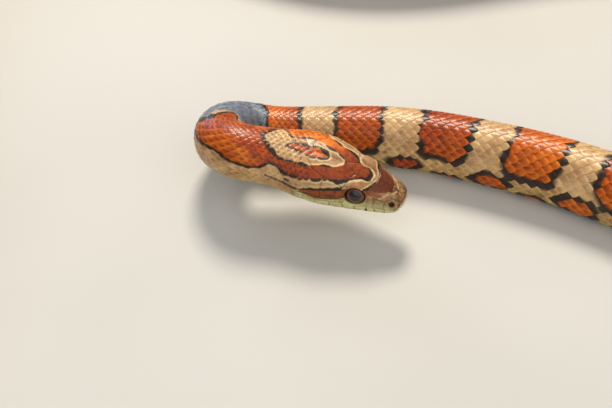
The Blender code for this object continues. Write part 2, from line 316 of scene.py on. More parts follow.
ISLE_LEFT = (
    (13.8, -0.12, .40), (14.2, 0.08, .72), (14.7, 0.36, .84), (15.15, 0.58, .56), (15.6, 0.86, .10), (16.2, 0.78, .28), (16.9, 0.47, .10),
    (17.3, 0.38, .50), (17.8, 0.33, .58), (18.3, 0.35, .50), (18.7, 0.3, .10), (19.1, 0.22, .36), (19.6, 0.24, .34), (20.2, 0.12, .08),
    (20.65, -0.2, .34))
MASK_OUT = curve((2.4, 0.0), (2.55, 0.9), (3.0, 1.45), (3.5, 1.95), (4.1, 2.35), (5.6, 2.95), (6.8, 3.3), (7.3, 3.35))
MASK_BACK = curve((0, 4.9), (0.4, 4.95), (1.4, 5.3), (2.2, 5.78), (2.95, 6.5), (4.5, 7.0))
STRIPE_TOP = curve((8.6, 5.3), (9.4, 5.2), (12.4, 5.08), (14.9, 4.82), (17.0, 4.15), (18.5, 3.7), (21, 3.3))
STRIPE_LOW = curve((8.6, 3.9), (9.4, 3.75), (10.6, 3.42), (13.0, 3.16), (14.6, 3.2), (16.7, 3.72), (18.5, 3.5), (21, 3.2))
LIP = curve((0, 1.2), (1.2, 1.08), (2.5, 1.08), (5, 0.98), (9, 0.95), (13, 1.2), (16, 1.72), (18.4, 2.3), (20, 2.7))


def loop(right, left, step=0.05):
    """Closed smooth line through the stations of both sides: s, g, black."""
    pts = np.array([(s, g, b) for s, g, b in right] + [(s, -g, b) for s, g, b in reversed(left)])
    out = []
    for k in range(len(pts)):
        p0, p1, p2, p3 = (pts[(k + i) % len(pts)] for i in (-1, 0, 1, 2))
        m = max(2, int(math.hypot(*(p2 - p1)[:2]) / step))
        t = (np.arange(m) / m)[:, None]
        out.append(0.5 * (2 * p1 + (p2 - p0) * t + (2 * p0 - 5 * p1 + 4 * p2 - p3) * t**2 + (3 * p1 - p0 - 3 * p2 + p3) * t**3))
    return np.concatenate(out)


def red_side(line, filled):
    """Direction towards the red at each point of a closed line."""
    d = np.roll(line[:, :2], -1, 0) - np.roll(line[:, :2], 1, 0)
    area = (line[:, 0] * np.roll(line[:, 1], -1) - np.roll(line[:, 0], -1) * line[:, 1]).sum()
    out = np.stack([d[:, 1], -d[:, 0]], 1) * np.sign(area)
    return out / np.linalg.norm(out, axis=1)[:, None] * (-1 if filled else 1)


def nearest(points, queries):
    """Distance to the nearest of the points, and its index."""
    tree = KDTree(len(points))
    for k, p in enumerate(points):
        tree.insert(p if len(p) == 3 else (p[0], p[1], 0.0), k)
    tree.balance()
    dist, index = np.empty(len(queries)), np.empty(len(queries), int)
    for k, q in enumerate(queries.tolist()):
        _, index[k], dist[k] = tree.find(q)
    return dist, index


_loops = [(loop(OUT_RIGHT, OUT_LEFT), True), (loop(IN_RIGHT, IN_LEFT), False), (loop(ISLE_RIGHT, ISLE_LEFT), True)]
EDGE = np.concatenate([a for a, _ in _loops])
EDGE_RED = np.concatenate([red_side(a, b) for a, b in _loops])
EDGE_LOOP = np.concatenate([np.full(len(a), k) for k, (a, _) in enumerate(_loops)])


def spacing(s):
    """Length of one saddle and the gap after it."""
    return curve((0, 14.0), (40, 14.0), (70, 15.5), (200, 18.5), (450, 18.0), (632, 13.5), (700, 9.5), (TOTAL, 7.0))(s)


_saddle = np.concatenate([[0.0], np.cumsum(0.05 / spacing(PHASE_S[1:]))])
saddle_phase = lambda s: np.interp(s, PHASE_S, _saddle) - np.interp(34.2, PHASE_S, _saddle)


def pattern(s, g):
    """Red mark, black border, warmth of the red, dark mask, and distance out from the black edge."""
    girth = girth_at(s)
    edge_arc = (girth - BELLY(s)) / 2          # where the belly plates begin
    wob_s = 0.10 * noise(s / 0.9, g / 0.9, 3) + 0.07 * noise(s / 0.35, g / 0.35, 4)
    wob_g = 0.10 * noise(s / 0.9, g / 0.9, 5) + 0.07 * noise(s / 0.35, g / 0.35, 6)
    sp, gp = s + wob_s, g + wob_g

    mark, border, warmth = np.zeros(len(s)), np.zeros(len(s)), np.full(len(s), 0.8)
    away_out = np.full(len(s), 9.0)
    # ---- head mark and first saddle
    front = s < 36.0
    if front.any():
        a, w = sp[front], gp[front]
        dist, k = nearest(EDGE[:, :2], np.stack([a, w, 0 * a], 1))
        rel = np.stack([a, w], 1) - EDGE[k, :2]
        d = dist * np.where((rel * EDGE_RED[k]).sum(1) > 0, 1, -1)
        black = EDGE[k, 2] * (1 + 0.25 * noise(a / 0.5, w / 0.5, 8))
        mark[front] = ramp(d, -0.05, 0.06)
        # the black lies mostly outside the edge, in blots
        border[front] = (1 - ramp(np.abs(d + 0.22 * black), 0.5 * black, 0.5 * black + 0.12)) * ramp(black, 0.04, 0.16)
        away_out[front] = np.where(d < 0, -d - 0.72 * black, -1.0)
        # dark red-brown on the right arm, more orange on the left one, the island and the saddle; the extra orange on
        # the left arm is painted sunlight
        arm = 0.10 + 0.22 * ramp(a, 9, 15) + 0.12 * noise(a / 1.5, w / 1.5, 9) + 0.62 * ramp(-w, 0.8, 2.2) * ramp(a, 9.5, 13)
        warm = arm * (1 - ramp(a, 20.5, 24.5)) + (0.74 + 0.16 * noise(a / 1.6, w / 1.6, 10)) * ramp(a, 20.5, 24.5)
        warmth[front] = np.where(EDGE_LOOP[k] == 2, 0.74 + 0.16 * noise(a / 0.6, w / 0.6, 7), warm)
    # ---- saddles further back
    back = ~front
    if back.any():
        b, w = s[back], g[back]
        ph = saddle_phase(b)
        number = np.round(ph)
        ph = ph - number + 0.03 * noise(number * 7.3, w / 3.0, 11)
        length = spacing(b)
        jit = lattice(number, 0 * number, 17)
        half = (0.30 + 0.035 * jit) * length * (1 - 0.05 * ramp(b, 560, 700))
        wide = edge_arc[back] * (0.56 + 0.06 * lattice(number, 0 * number + 5, 19))
        x = np.abs(ph * length + 0.5 * noise(b / 2.6, w / 2.6, 12))
        y = np.abs(w + 0.5 * noise(b / 2.6, w / 2.6, 13))
        waist = half * (1 - 0.16 * (1 - np.clip(y / wide, 0, 1)))      # rounded H: fuller at its sides
        f = ((x / waist) ** 3.2 + (y / wide) ** 3.6) ** (1 / 3.4)
        d = (1 - f) * np.minimum(waist, wide)
        # flank blotches between the saddles, and small ones low on the side
        for shift, at, hl, hw, seed in ((0.5, 0.80, 0.19, 0.14, 23), (0.0, 0.96, 0.13, 0.085, 29)):
            p2 = saddle_phase(b) + shift + 0.06 * np.sign(w)
            n2 = np.round(p2)
            size = 0.8 + 0.4 * lattice(n2, np.sign(w), seed)
            x2 = (p2 - n2) * length + 0.35 * noise(b / 1.7, w / 1.7, seed + 1)
            y2 = np.abs(w) - at * edge_arc[back] + 0.35 * noise(b / 1.7, w / 1.7, seed + 2)
            f2 = np.sqrt((x2 / (hl * length * size)) ** 2 + (y2 / (hw * edge_arc[back] * size)) ** 2)
            d2 = (1 - f2) * hw * edge_arc[back] * size
            d = np.maximum(d, d2 - 2 * ramp(-b, -44, -40))
        scale = np.clip(edge_arc[back] / 16.0, 0.25, 1.0)
        d = np.where(b < 40, np.minimum(d, -1.0), d)
        mark[back] = ramp(d, -0.1, 0.15)
        wide2 = 0.38 * scale * (1 + 0.6 * noise(b / 1.6, w / 1.6, 14))
        border[back] = 1 - ramp(np.abs(d + 0.1 * scale), wide2, wide2 + 0.28)
        warmth[back] = 0.78 + 0.16 * noise(b / 9, w / 9, 15)
    # ---- dark mask across the snout, with black behind its two ends
    side = np.abs(gp)
    dark = ramp(MASK_OUT(np.clip(sp, 2.4, 7.3)) - side, -0.06, 0.1) * ramp(sp, 2.36, 2.52) * ramp(MASK_BACK(side) - sp, -0.05, 0.08) * (s < 8)
    blot = ramp(side + 0.5 * noise(s / 0.7, g / 0.7, 21), 0.75, 1.25) * ramp(-side, -3.5, -3.1)
    line = (1 - ramp(np.abs(MASK_BACK(side) - 0.06 - sp), 0.12, 0.27)) * blot * (s < 8)
    border = np.maximum(border, line)
    return mark, border, warmth, dark, away_out


def height_of(s, g):
    """Height over the chin of the outline at s, g."""
    v = (0.5 + g / girth_at(s)) % 1.0
    phi = bilinear(TAB_PHI, s, np.clip(v, 0, 0.99999))
    return section(s, phi)[1]


JAW_LINES = (((17.4, 4.19), (18.6, 4.12), (19.2, 4.21), (20.0, 4.29), (20.9, 4.37), (22.3, 4.43), 0.14), ((17.6, 4.17), (18.6, 4.10), (19.6, 4.24), (20.6, 4.35), 0.25),
             ((19.3, 5.03), (19.8, 5.11), (20.3, 5.13), 0.16), ((22.4, 4.40), (23.3, 4.58), (24.0, 4.66), 0.09))
# short strokes of the snout, as (s, distance from the midline) pairs, half breadth and strength: pale, dark, orange;
# the first pale stroke on the second line, just in front of the mask, is a painted highlight
PALE_STROKES = (((3.9, 3.3), (3.3, 2.45), (2.8, 1.75), 0.16, 0.55), ((3.0, 1.29), (2.72, 0.82), (2.42, 0.31), 0.08, 0.6),
                # painted highlight: the next stroke, just in front of the mask
                ((2.36, 1.45), (2.06, 0.95), (1.76, 0.39), 0.10, 0.7), ((5.7, 3.7), (5.28, 3.58), (4.95, 3.45), 0.26, 0.6),
                ((9.62, 4.72), (9.42, 4.62), (9.3, 4.5), 0.24, 1.0))
DARK_STROKES = (((2.36, 0.12), (1.94, 0.22), (1.70, 0.45), 0.14, 0.8), ((3.0, 1.04), (2.48, 0.98), (2.0, 0.86), 0.20, 0.55),
                ((1.82, 2.1), (1.22, 1.79), (0.74, 1.48), 0.12, 0.9), ((4.9, 3.15), (4.68, 3.4), (4.74, 4.0), 0.07, 0.8),
                ((4.2, 3.45), (3.84, 3.27), (3.36, 3.06), 0.08, 0.7), ((2.2, 1.95), (1.7, 1.6), (1.3, 1.2), 0.12, 0.5))
ORANGE_STROKES = (((0.32, 1.39), (0.26, 0.70), (0.26, 0.1), 0.22, 0.55), ((4.68, 3.06), (4.20, 2.95), (3.72, 2.73), 0.20, 0.8))


def strokes(lines, s, away):
    out = np.zeros(len(s))
    for *pts, broad, strength in lines:
        line = densify_flat(pts)
        near = (s > line[:, 0].min() - 1) & (s < line[:, 0].max() + 1) & (away > line[:, 1].min() - 1) & (away < line[:, 1].max() + 1)
        if near.any():
            d = np.hypot(s[near, None] - line[None, :, 0], away[near, None] - line[None, :, 1]).min(1)
            d = d + 0.06 * noise(s[near] / 0.3, away[near] / 0.3, 47)
            out[near] = np.maximum(out[near], strength * (1 - ramp(d, 0.5 * broad, broad + 0.10)))
    return out


def densify_flat(pts):
    pts = np.array(pts, float)
    k = np.arange(0, len(pts) - 1 + 1e-6, 0.1)
    return np.stack([np.interp(k, np.arange(len(pts)), pts[:, i]) for i in (0, 1)], -1)


def marks(s, g):
    """Colour attributes: (mark, border, warmth), (dark, stripe, labial), (flank, belly, fleck), (rim, tan, pink); pink
    is below zero where a sky reflection is painted blue-grey.
    """
    s = np.clip(np.asarray(s, float), 0.02, TOTAL - 0.1)
    g = np.asarray(g, float)
    mark, border, warmth, dark, out = pattern(s, g)
    z = height_of(s, g)
    away = np.abs(g)
    edge_arc = (girth_at(s) - BELLY(s)) / 2
    flank = ramp(away / edge_arc, 0.5, 0.98)
    belly = ramp(away - edge_arc, -0.25, 0.15)
    head = s < 24
    wob = 0.07 * noise(s / 0.7, g / 0.7, 31) + 0.05 * noise(s / 0.25, g / 0.25, 32)
    upper, lower = STRIPE_TOP(s) + wob, STRIPE_LOW(s) + wob
    side = head & (away > 2.5)
    stripe = ramp(upper - z, -0.04, 0.1) * ramp(z - lower, -0.04, 0.1) * ramp(s, 8.9, 9.2) * ramp(-s, -18.0, -16.0) * side
    # orange in front of the eye, under the edge of the mask
    canthus = ramp(z, 4.0 + 0.5 * wob, 4.35) * ramp(-z, -5.1, -4.8) * ramp(s, 3.3, 5.2) * ramp(-s, -7.2, -6.7) * (1 - dark) * side
    stripe = np.maximum(stripe, 0.85 * canthus)
    heavy = 0.13 + 0.05 * noise(s / 1.1, 0 * s, 34)
    rim = np.maximum((1 - ramp(np.abs(z - upper), heavy, heavy + 0.12)) * ramp(-s, -17.6, -16.6),
                     (1 - ramp(np.abs(z - lower), 0.04, 0.16)) * 0.9 * ramp(noise(s / 0.9, 0 * s, 36), -0.9, -0.2) * ramp(-s, -17.6, -16.6)) * ramp(s, 8.9, 9.2) * side
    border = np.maximum(border, rim)
    # broken dark lines that carry the stripe on over the jaw
    for *pts, broad in JAW_LINES:
        xs, zs = [p[0] for p in pts], [p[1] for p in pts]
        gone = np.abs(z - np.interp(s, xs, zs)) + 3.0 * np.clip(xs[0] - s, 0, 9) + 3.0 * np.clip(s - xs[-1], 0, 9)
        border = np.maximum(border, 0.92 * (1 - ramp(gone + 0.5 * wob, broad, broad + 0.13)) * (away > 4) * head)
    # dark marks on the lip seams and below the eye
    lip = LIP(np.clip(s, 0, 20))
    for at, top, wid, deep in ((5.5, 2.0, 0.30, 1.0), (4.15, 2.05, 0.10, 0.7), (2.6, 1.8, 0.08, 0.6), (7.35, 1.8, 0.10, 0.7), (9.3, 2.2, 0.10, 0.7), (11.4, 2.2, 0.10, 0.7)):
        drop = wid * (0.35 + 0.65 * ramp(top - z, 0.0, 1.0))
        border = np.maximum(border, deep * (1 - ramp(np.abs(s - at - 0.1 * (z - 1.2)), drop * 0.5, drop + 0.05)) * ramp(top - z, 0, 0.3) * ramp(z - lip, -0.35, -0.1) * head)
    labial = ramp(lower - 0.05 - z, -0.12, 0.12) * ramp(s, 8.4, 8.8) + ramp(3.5 + 0.3 * noise(s / 1.2, g, 37) - z, -0.6, 0.5) * (1 - ramp(s, 8.4, 8.8))
    labial = np.clip(labial, 0, 1) * ramp(-s, -19.5, -17.0) * (1 - ramp(s, 1.6, 0.6) * ramp(z, 1.4, 2.2))
    labial = labial * (0.62 + 0.38 * ramp(-z, -2.9 - 0.08 * s, -1.5 - 0.1 * s))
    # fields of the shields: cream next to the black, brown further in
    shields = 1 - ramp(s, 15.5, 17.5)
    edge_rim = np.exp(-((out - 0.13) / 0.16) ** 2) * (out > -0.6)
    back_rim = np.exp(-((s + wob - MASK_BACK(away) - 0.33) / 0.15) ** 2) * ramp(-away, -3.6, -3.2) * (s < 8)
    lid_rim = np.exp(-((z - upper - 0.42) / 0.2) ** 2) * 0.7 * ramp(s, 9, 10) * side
    cream = np.maximum(np.maximum(edge_rim, back_rim), lid_rim) * shields
    pale = strokes(PALE_STROKES, s, away) * head
    cream = np.maximum(cream, pale)
    border = np.where(s > 9.0, border * (1 - pale), border)
    orange = strokes(ORANGE_STROKES, s, away) * head
    stripe = np.maximum(stripe, orange)
    inner = (s > 10.7) & (away < 3.4) & (mark < 0.5)
    tan = ramp(out, 0.22, 0.45) * shields * (1 - mark)
    tan *= np.where(inner, 0.75, np.where(s < 8.8, 1.0 - 0.12 * ramp(away, 1.8, 3.0), 0.46)) * (0.80 + 0.20 * noise(s / 0.9, g / 0.6, 43))
    pink = np.where(inner, 0.85, ramp(away, 1.6, 2.6) * ramp(-s, -10.5, -8.0) * 0.7 + 0.1)
    streak = ramp(noise(s / 2.2, g / 0.28, 44), 0.1, 0.6) * inner * ramp(-s, -14.5, -13.0)
    pink = np.clip(pink + 0.5 * streak, 0, 1)
    # grey scales on the back of the bend behind the first saddle, with a painted sky reflection that tints them
    # blue-grey; carried as pink below zero
    grey_and_sky_sheen = ramp(s + 0.9 * noise(s / 1.3, g / 1.3, 65), 33.4, 34.6) * ramp(-s, -46.0, -43.5) * ramp(-away / edge_arc, -1.0, -0.62) * (1 - mark)
    grey_and_sky_sheen = grey_and_sky_sheen * (1 - 0.75 * ramp(noise(s / 1.1, g / 0.9, 66), 0.1, 0.5) * ramp(-s, -37.0, -35.0) * ramp(g, 1.5, 3.0))
    pink = np.where(grey_and_sky_sheen > 0.01, -grey_and_sky_sheen, pink)
    # brown freckles of the shields: on the snout, beside the island and behind the eye
    fleck = 0.5 + 0.5 * noise(s / 0.55, g / 0.4, 41) + 0.25 * noise(s / 0.25, g / 0.2, 42)
    amount = (0.40 * ramp(-s, -3.0, -1.8) * (z > 1.6) + 0.55 * ((s > 15.5) & (s < 19.8) & (g < -0.5) & (g > -2.2)) + 0.22 * ((s > 9) & (s < 17.5) & (away < 2.8))
              + 0.15 * ((s < 9) & (z > 2.2)) + 0.30 * ((s > 9) & (s < 18) & (away > 4.5)))
    fleck = ramp(fleck - 1 + amount, 0.0, 0.35) * (1 - mark)
    fleck = np.maximum(fleck, strokes(DARK_STROKES, s, away) * head)
    # brown smudges on the flank of the bend behind the head
    smudge = ramp(0.5 * noise(s / 1.5, g / 1.1, 61) + 0.4 * noise(s / 0.6, g / 0.6, 62), 0.02, 0.5)
    fleck = np.maximum(fleck, 0.50 * smudge * ramp(s, 24, 28) * ramp(-s, -44, -38) * ramp(away, 4.2, 5.2) * (1 - belly) * (1 - mark))
    # the lips carry an uneven brown haze above their pale edge
    haze = ramp(0.5 * noise(s / 0.7, g / 0.5, 63) + 0.5 * noise(s / 0.3, g / 0.3, 64), -0.05, 0.55) * ramp(z - lip, 0.25, 0.8)
    fleck = np.maximum(fleck, 0.34 * haze * labial)
    # black checks of the belly, one to three plates long; none on the throat
    q = phase_at(s)
    part = np.floor(np.clip((away - edge_arc) / np.maximum(BELLY(s) / 2, 1e-3), 0, 0.999) * 3)
    check = lattice(np.floor(q), part + 5 * (g > 0), 51) + 0.35 * lattice(np.floor(q / 2.0), part + 9 * (g > 0), 53)
    check = ramp(check, 0.80, 0.84) * belly * ramp(s, 42, 75)
    under_tail = belly * (s > VENT) * (1 - ramp(np.abs((away - edge_arc) / np.maximum(BELLY(s) / 2, 1e-3) - 0.45), 0.16, 0.24))
    check = np.where(s > VENT + 1, under_tail, check)
    border = np.where(belly > 0.5, np.maximum(border * (1 - belly), 0.92 * check), border)
    mark = mark * (1 - belly)
    return (np.stack([mark, border, warmth], -1), np.stack([dark, stripe, labial], -1), np.stack([flank, belly, fleck], -1),
            np.stack([cream, tan, pink], -1))


# =====================================================================
# mesh writing
# =====================================================================
def write_mesh(name, verts, tris, quads, materials, attributes, uvs=None, sharp=None, smooth=True):
    """Mesh from arrays in metres. attributes: name -> (n, 3) values at the vertices. uvs: per corner, triangles first."""
    me = bpy.data.meshes.new(name)
    nv, nt, nq = len(verts), len(tris), len(quads)
    me.vertices.add(nv)
    me.vertices.foreach_set("co", np.asarray(verts, np.float32).ravel())
    me.loops.add(nt * 3 + nq * 4)
    me.loops.foreach_set("vertex_index", np.concatenate([np.asarray(tris, np.int32).ravel(), np.asarray(quads, np.int32).ravel()]))
    me.polygons.add(nt + nq)
    starts = np.concatenate([np.arange(nt) * 3, nt * 3 + np.arange(nq) * 4]).astype(np.int32)
    me.polygons.foreach_set("loop_start", starts)
    if uvs is not None:
        layer = me.uv_layers.new(name="OFBake")
        layer.data.foreach_set("uv", np.asarray(uvs, np.float32).ravel())
    for key, values in attributes.items():
        values = np.asarray(values, np.float32)
        kind = "FLOAT" if values.ndim == 1 else "FLOAT_VECTOR"
        a = me.attributes.new(key, kind, "POINT")
        a.data.foreach_set("value" if values.ndim == 1 else "vector", values.ravel())
    me.update(calc_edges=True)
    me.validate()
    if smooth:
        me.shade_smooth()
    if sharp:
        me.set_sharp_from_angle(angle=math.radians(sharp))
    for m in materials:
        me.materials.append(m)
    ob = bpy.data.objects.new(name, me)
    bpy.context.scene.collection.objects.link(ob)
    return ob


# =====================================================================
# materials
# =====================================================================
def rgb(r, g, b):
    """Linear colour from the usual 0..255 screen values."""
    f = lambda c: c / 12.92 if c <= 0.04045 else ((c + 0.055) / 1.055) ** 2.4
    return tuple(f(v / 255.0) for v in (r, g, b)) + (1.0,)


class Nodes:
    """Small helper to write node trees in order."""

    def __init__(self, name):
        self.material = bpy.data.materials.new(name)
        self.material.use_nodes = True
        self.tree = self.material.node_tree
        self.shader = self.tree.nodes["Principled BSDF"]
        self.x = -2400

    def new(self, kind, **settings):
        n = self.tree.nodes.new(kind)
        self.x += 60
        n.location = (self.x, -200)
        for k, v in settings.items():
            setattr(n, k, v)
        return n

    def link(self, a, b):
        self.tree.links.new(a, b)

    def feed(self, socket, value):
        if isinstance(value, bpy.types.NodeSocket):
            self.link(value, socket)
        else:
            socket.default_value = value

    def split(self, name):
        a = self.new("ShaderNodeAttribute", attribute_name=name)
        s = self.new("ShaderNodeSeparateXYZ")
        self.link(a.outputs["Vector"], s.inputs[0])
        return s.outputs

    def mix(self, factor, a, b, mode="MIX"):
        n = self.new("ShaderNodeMix", data_type="RGBA", blend_type=mode)
        self.feed(n.inputs[0], factor)
        self.feed(n.inputs[6], a)
        self.feed(n.inputs[7], b)
        return n.outputs[2]

    def math(self, op, a, b=0.0, c=None, clamp=False):
        n = self.new("ShaderNodeMath", operation=op, use_clamp=clamp)
        self.feed(n.inputs[0], a)
        self.feed(n.inputs[1], b)
        if c is not None:
            self.feed(n.inputs[2], c)
        return n.outputs[0]

    def span(self, value, a, b, c, d):
        n = self.new("ShaderNodeMapRange")
        for k, v in zip(range(5), (value, a, b, c, d)):
            self.feed(n.inputs[k], v)
        return n.outputs[0]

    def noise(self, scale, detail=3.0, rough=0.6, vector=None):
        """Noise in the object's own space; scale is in cycles a millimetre."""
        n = self.new("ShaderNodeTexNoise")
        if vector is None:
            vector = self.new("ShaderNodeTexCoord").outputs["Object"]
        self.link(vector, n.inputs["Vector"])
        n.inputs["Scale"].default_value = scale * 1000.0
        n.inputs["Detail"].default_value = detail
        n.inputs["Roughness"].default_value = rough
        return n.outputs[0]

    def bump(self, height, strength, distance, normal=None):
        n = self.new("ShaderNodeBump")
        n.inputs["Strength"].default_value = strength
        n.inputs["Distance"].default_value = distance
        self.link(height, n.inputs["Height"])
        if normal is not None:
            self.link(normal, n.inputs["Normal"])
        return n.outputs[0]


def scale_material(name, plates):
    """Colours of skin and scales from the marking attributes. plates adds what changes from scale to scale."""
    t = Nodes(name)
    a, b, c, d = t.split("marks_a"), t.split("marks_b"), t.split("marks_c"), t.split("marks_d")
    mark, border, warmth = a[0], a[1], a[2]
    dark, stripe, labial = b[0], b[1], b[2]
    flank, belly, fleck = c[0], c[1], c[2]
    cream, tan, pink = d[0], d[1], d[2]
    fine, broad = t.noise(2.6, 4.0, 0.65), t.noise(0.35, 3.0, 0.55)
    grain = t.noise(7.0, 3.0, 0.7)
    mottle = t.noise(1.3, 4.0, 0.7)

    # pale ground: cream on the back, yellower and then paler down the flank, white-yellow below
    back = t.mix(t.span(broad, 0.35, 0.65, 0.0, 1.0), rgb(210, 176, 132), rgb(176, 136, 96))
    side = t.mix(t.span(broad, 0.35, 0.65, 0.0, 1.0), rgb(192, 170, 104), rgb(154, 122, 66))
    ground = t.mix(flank, back, side)
    ground = t.mix(t.span(fine, 0.45, 0.75, 0.0, 0.35), ground, rgb(224, 198, 154))
    brown = t.mix(pink, t.mix(t.span(mottle, 0.35, 0.65, 0.0, 1.0), rgb(148, 106, 62), rgb(108, 70, 40)),
                  t.mix(t.span(mottle, 0.38, 0.62, 0.0, 1.0), rgb(164, 116, 76), rgb(124, 74, 48)))
    ground = t.mix(tan, ground, brown)
    # painted sky reflection: blue-grey mottle on the grey scales where pink is below zero
    ground = t.mix(t.span(pink, -0.9, 0.0, 1.0, 0.0), ground, t.mix(t.span(mottle, 0.35, 0.65, 0.0, 1.0), rgb(130, 146, 170), rgb(86, 98, 118)))
    ground = t.mix(t.math("MULTIPLY", fleck, 0.88), ground, rgb(104, 54, 28))
    lips = t.mix(t.span(labial, 0.62, 0.98, 0.0, 1.0),
                 t.mix(t.span(mottle, 0.36, 0.62, 0.0, 1.0), rgb(168, 150, 100), rgb(122, 98, 60)),
                 t.mix(t.span(mottle, 0.40, 0.70, 0.0, 1.0), rgb(204, 202, 146), rgb(170, 162, 106)))
    ground = t.mix(t.span(labial, 0.0, 0.5, 0.0, 1.0), ground, lips)
    ground = t.mix(t.math("MULTIPLY", cream, 0.82), ground, rgb(224, 196, 144))
    under = t.mix(t.span(broad, 0.4, 0.7, 0.0, 1.0), rgb(232, 226, 202), rgb(216, 204, 170))
    ground = t.mix(belly, ground, under)

    # red: brown on the arms of the spear, rust on the saddles, orange where it is lightest, which on the left arm is
    # painted sunlight
    maroon = t.mix(t.span(mottle, 0.38, 0.66, 0.0, 1.0), rgb(106, 42, 18), rgb(152, 70, 30))
    rust = t.mix(t.span(mottle, 0.36, 0.66, 0.0, 1.0), rgb(134, 45, 6), rgb(180, 77, 13))
    orange = t.mix(t.span(mottle, 0.36, 0.66, 0.0, 1.0), rgb(216, 104, 14), rgb(242, 142, 34))
    red = t.mix(t.span(warmth, 0.0, 0.65, 0.0, 1.0), maroon, rust)
    red = t.mix(t.span(warmth, 0.65, 1.0, 0.0, 1.0), red, orange)
    colour = t.mix(mark, ground, red)
    colour = t.mix(dark, colour, t.mix(t.span(fine, 0.35, 0.7, 0.0, 1.0), rgb(86, 36, 20), rgb(114, 56, 30)))
    colour = t.mix(stripe, colour, t.mix(t.span(mottle, 0.35, 0.65, 0.0, 1.0), rgb(112, 48, 10), rgb(150, 78, 24)))
    colour = t.mix(t.math("MULTIPLY", border, 0.96), colour, rgb(14, 11, 11))
    if plates:
        p = t.split("plate")            # tone of the scale, nearness to its free edge, place along it
        # every scale has a tone of its own, a deeper middle and a lighter rim
        colour = t.mix(t.span(p[0], 0.45, 1.0, 0.0, 0.34), colour, t.mix(0.6, colour, rgb(255, 210, 150), "SOFT_LIGHT"))
        colour = t.mix(t.span(p[0], 0.0, 0.45, 0.30, 0.0), colour, t.mix(0.8, colour, rgb(150, 96, 74), "MULTIPLY"))
        heart = t.math("MULTIPLY", t.span(p[1], 0.12, 0.66, 1.0, 0.0), t.span(mark, 0.0, 1.0, 0.20, 0.78))
        colour = t.mix(heart, colour, t.mix(0.9, colour, rgb(150, 84, 66), "MULTIPLY"))
        edge = t.math("MULTIPLY", t.span(p[1], 0.60, 0.92, 0.0, 1.0), t.span(border, 0.0, 0.5, 0.42, 0.0))
        colour = t.mix(edge, colour, t.mix(0.75, colour, rgb(255, 222, 170), "SOFT_LIGHT"))
    else:
        seam = t.new("ShaderNodeAttribute", attribute_name="seam").outputs["Fac"]
        colour = t.mix(t.math("MULTIPLY", seam, 0.6), colour, t.mix(0.85, colour, rgb(70, 40, 28), "MULTIPLY"))
    t.link(colour, t.shader.inputs["Base Color"])
    rough = t.span(grain, 0.3, 0.7, 0.30, 0.44)
    t.link(rough, t.shader.inputs["Roughness"])
    t.shader.inputs["Specular IOR Level"].default_value = 0.26
    t.shader.inputs["Coat Weight"].default_value = 0.12
    t.shader.inputs["Coat Roughness"].default_value = 0.16
    t.shader.inputs["Subsurface Weight"].default_value = 0.05
    t.shader.inputs["Subsurface Radius"].default_value = (0.0009, 0.0004, 0.0002)
    t.shader.inputs["Subsurface Scale"].default_value = 1.0
    t.link(t.bump(grain, 0.25, 0.00004), t.shader.inputs["Normal"])
    return t.material


def eye_material():
    t = Nodes("eye_spectacle")
    ring = t.split("iris")                # distance from the middle of the pupil, place round it
    fine = t.noise(3.2, 4.0, 0.7)
    iris = t.mix(t.span(fine, 0.35, 0.7, 0.0, 1.0), rgb(50, 18, 9), rgb(112, 46, 16))
    inner = t.mix(t.span(ring[0], 0.63, 0.70, 0.6, 0.0), iris, rgb(150, 72, 32))
    outer = t.mix(t.span(ring[0], 0.80, 0.97, 0.0, 0.95), inner, rgb(20, 10, 8))
    pupil = t.span(ring[0], 0.60, 0.63, 1.0, 0.0)
    t.link(t.mix(pupil, outer, rgb(7, 10, 6)), t.shader.inputs["Base Color"])
    t.shader.inputs["Roughness"].default_value = 0.3
    t.shader.inputs["Specular IOR Level"].default_value = 0.1
    t.shader.inputs["Coat Weight"].default_value = 1.0
    t.shader.inputs["Coat Roughness"].default_value = 0.03
    t.shader.inputs["Coat IOR"].default_value = 1.5
    return t.material


SKIN_MATERIAL = scale_material("snake_skin", False)
COAT_MATERIAL = scale_material("snake_scales", True)
EYE_MATERIAL = eye_material()


# =====================================================================
# scales: thin closed plates that overlap like shingles
# =====================================================================
def plate_template(stops, columns):
    """Top grid, rim wall and underside of one plate in a (0 root, 1 tip) and b (-1..1 of its half width)."""
    a = np.repeat(np.array(stops)[:, None], len(columns), 1)
    b = np.repeat(np.array(columns)[None], len(stops), 0)
    n, m = a.shape
    index = np.arange(n * m).reshape(n, m)
    quads = np.stack([index[:-1, :-1], index[:-1, 1:], index[1:, 1:], index[1:, :-1]], -1).reshape(-1, 4)
    loop = np.concatenate([index[0, :], index[1:, -1], index[-1, -2::-1], index[-2:0:-1, 0]])
    low = n * m + np.arange(len(loop))
    nxt = np.roll(np.arange(len(loop)), -1)
    wall = np.stack([loop, low, low[nxt], loop[nxt]], -1)
    hub = n * m + len(loop)
    fan = np.stack([low, np.full(len(loop), hub), low[nxt]], -1)
    return {"a": a.ravel(), "b": b.ravel(), "quads": np.concatenate([quads, wall]), "tris": fan, "loop": loop, "hub": hub, "count": hub + 1}


FINE = plate_template((0.0, 0.2, 0.42, 0.58, 0.72, 0.83, 0.915, 0.97, 1.0), (-1, -0.75, -0.4, 0, 0.4, 0.75, 1))
PLAIN = plate_template((0.0, 0.35, 0.58, 0.76, 0.9, 1.0), (-1, -0.55, 0, 0.55, 1))
BROAD = plate_template((0.0, 0.35, 0.62, 0.82, 0.94, 1.0), tuple(np.linspace(-1, 1, 17)))
SCALE_WIDTH = curve((0, 0.42), (0.15, 0.74), (0.35, 0.95), (0.56, 1.0), (0.7, 0.87), (0.82, 0.64), (0.91, 0.40), (0.97, 0.20), (1, 0.04))
BELLY_WIDTH = curve((0, 0.90), (0.4, 0.98), (0.8, 1.0), (0.93, 0.97), (1, 0.88))


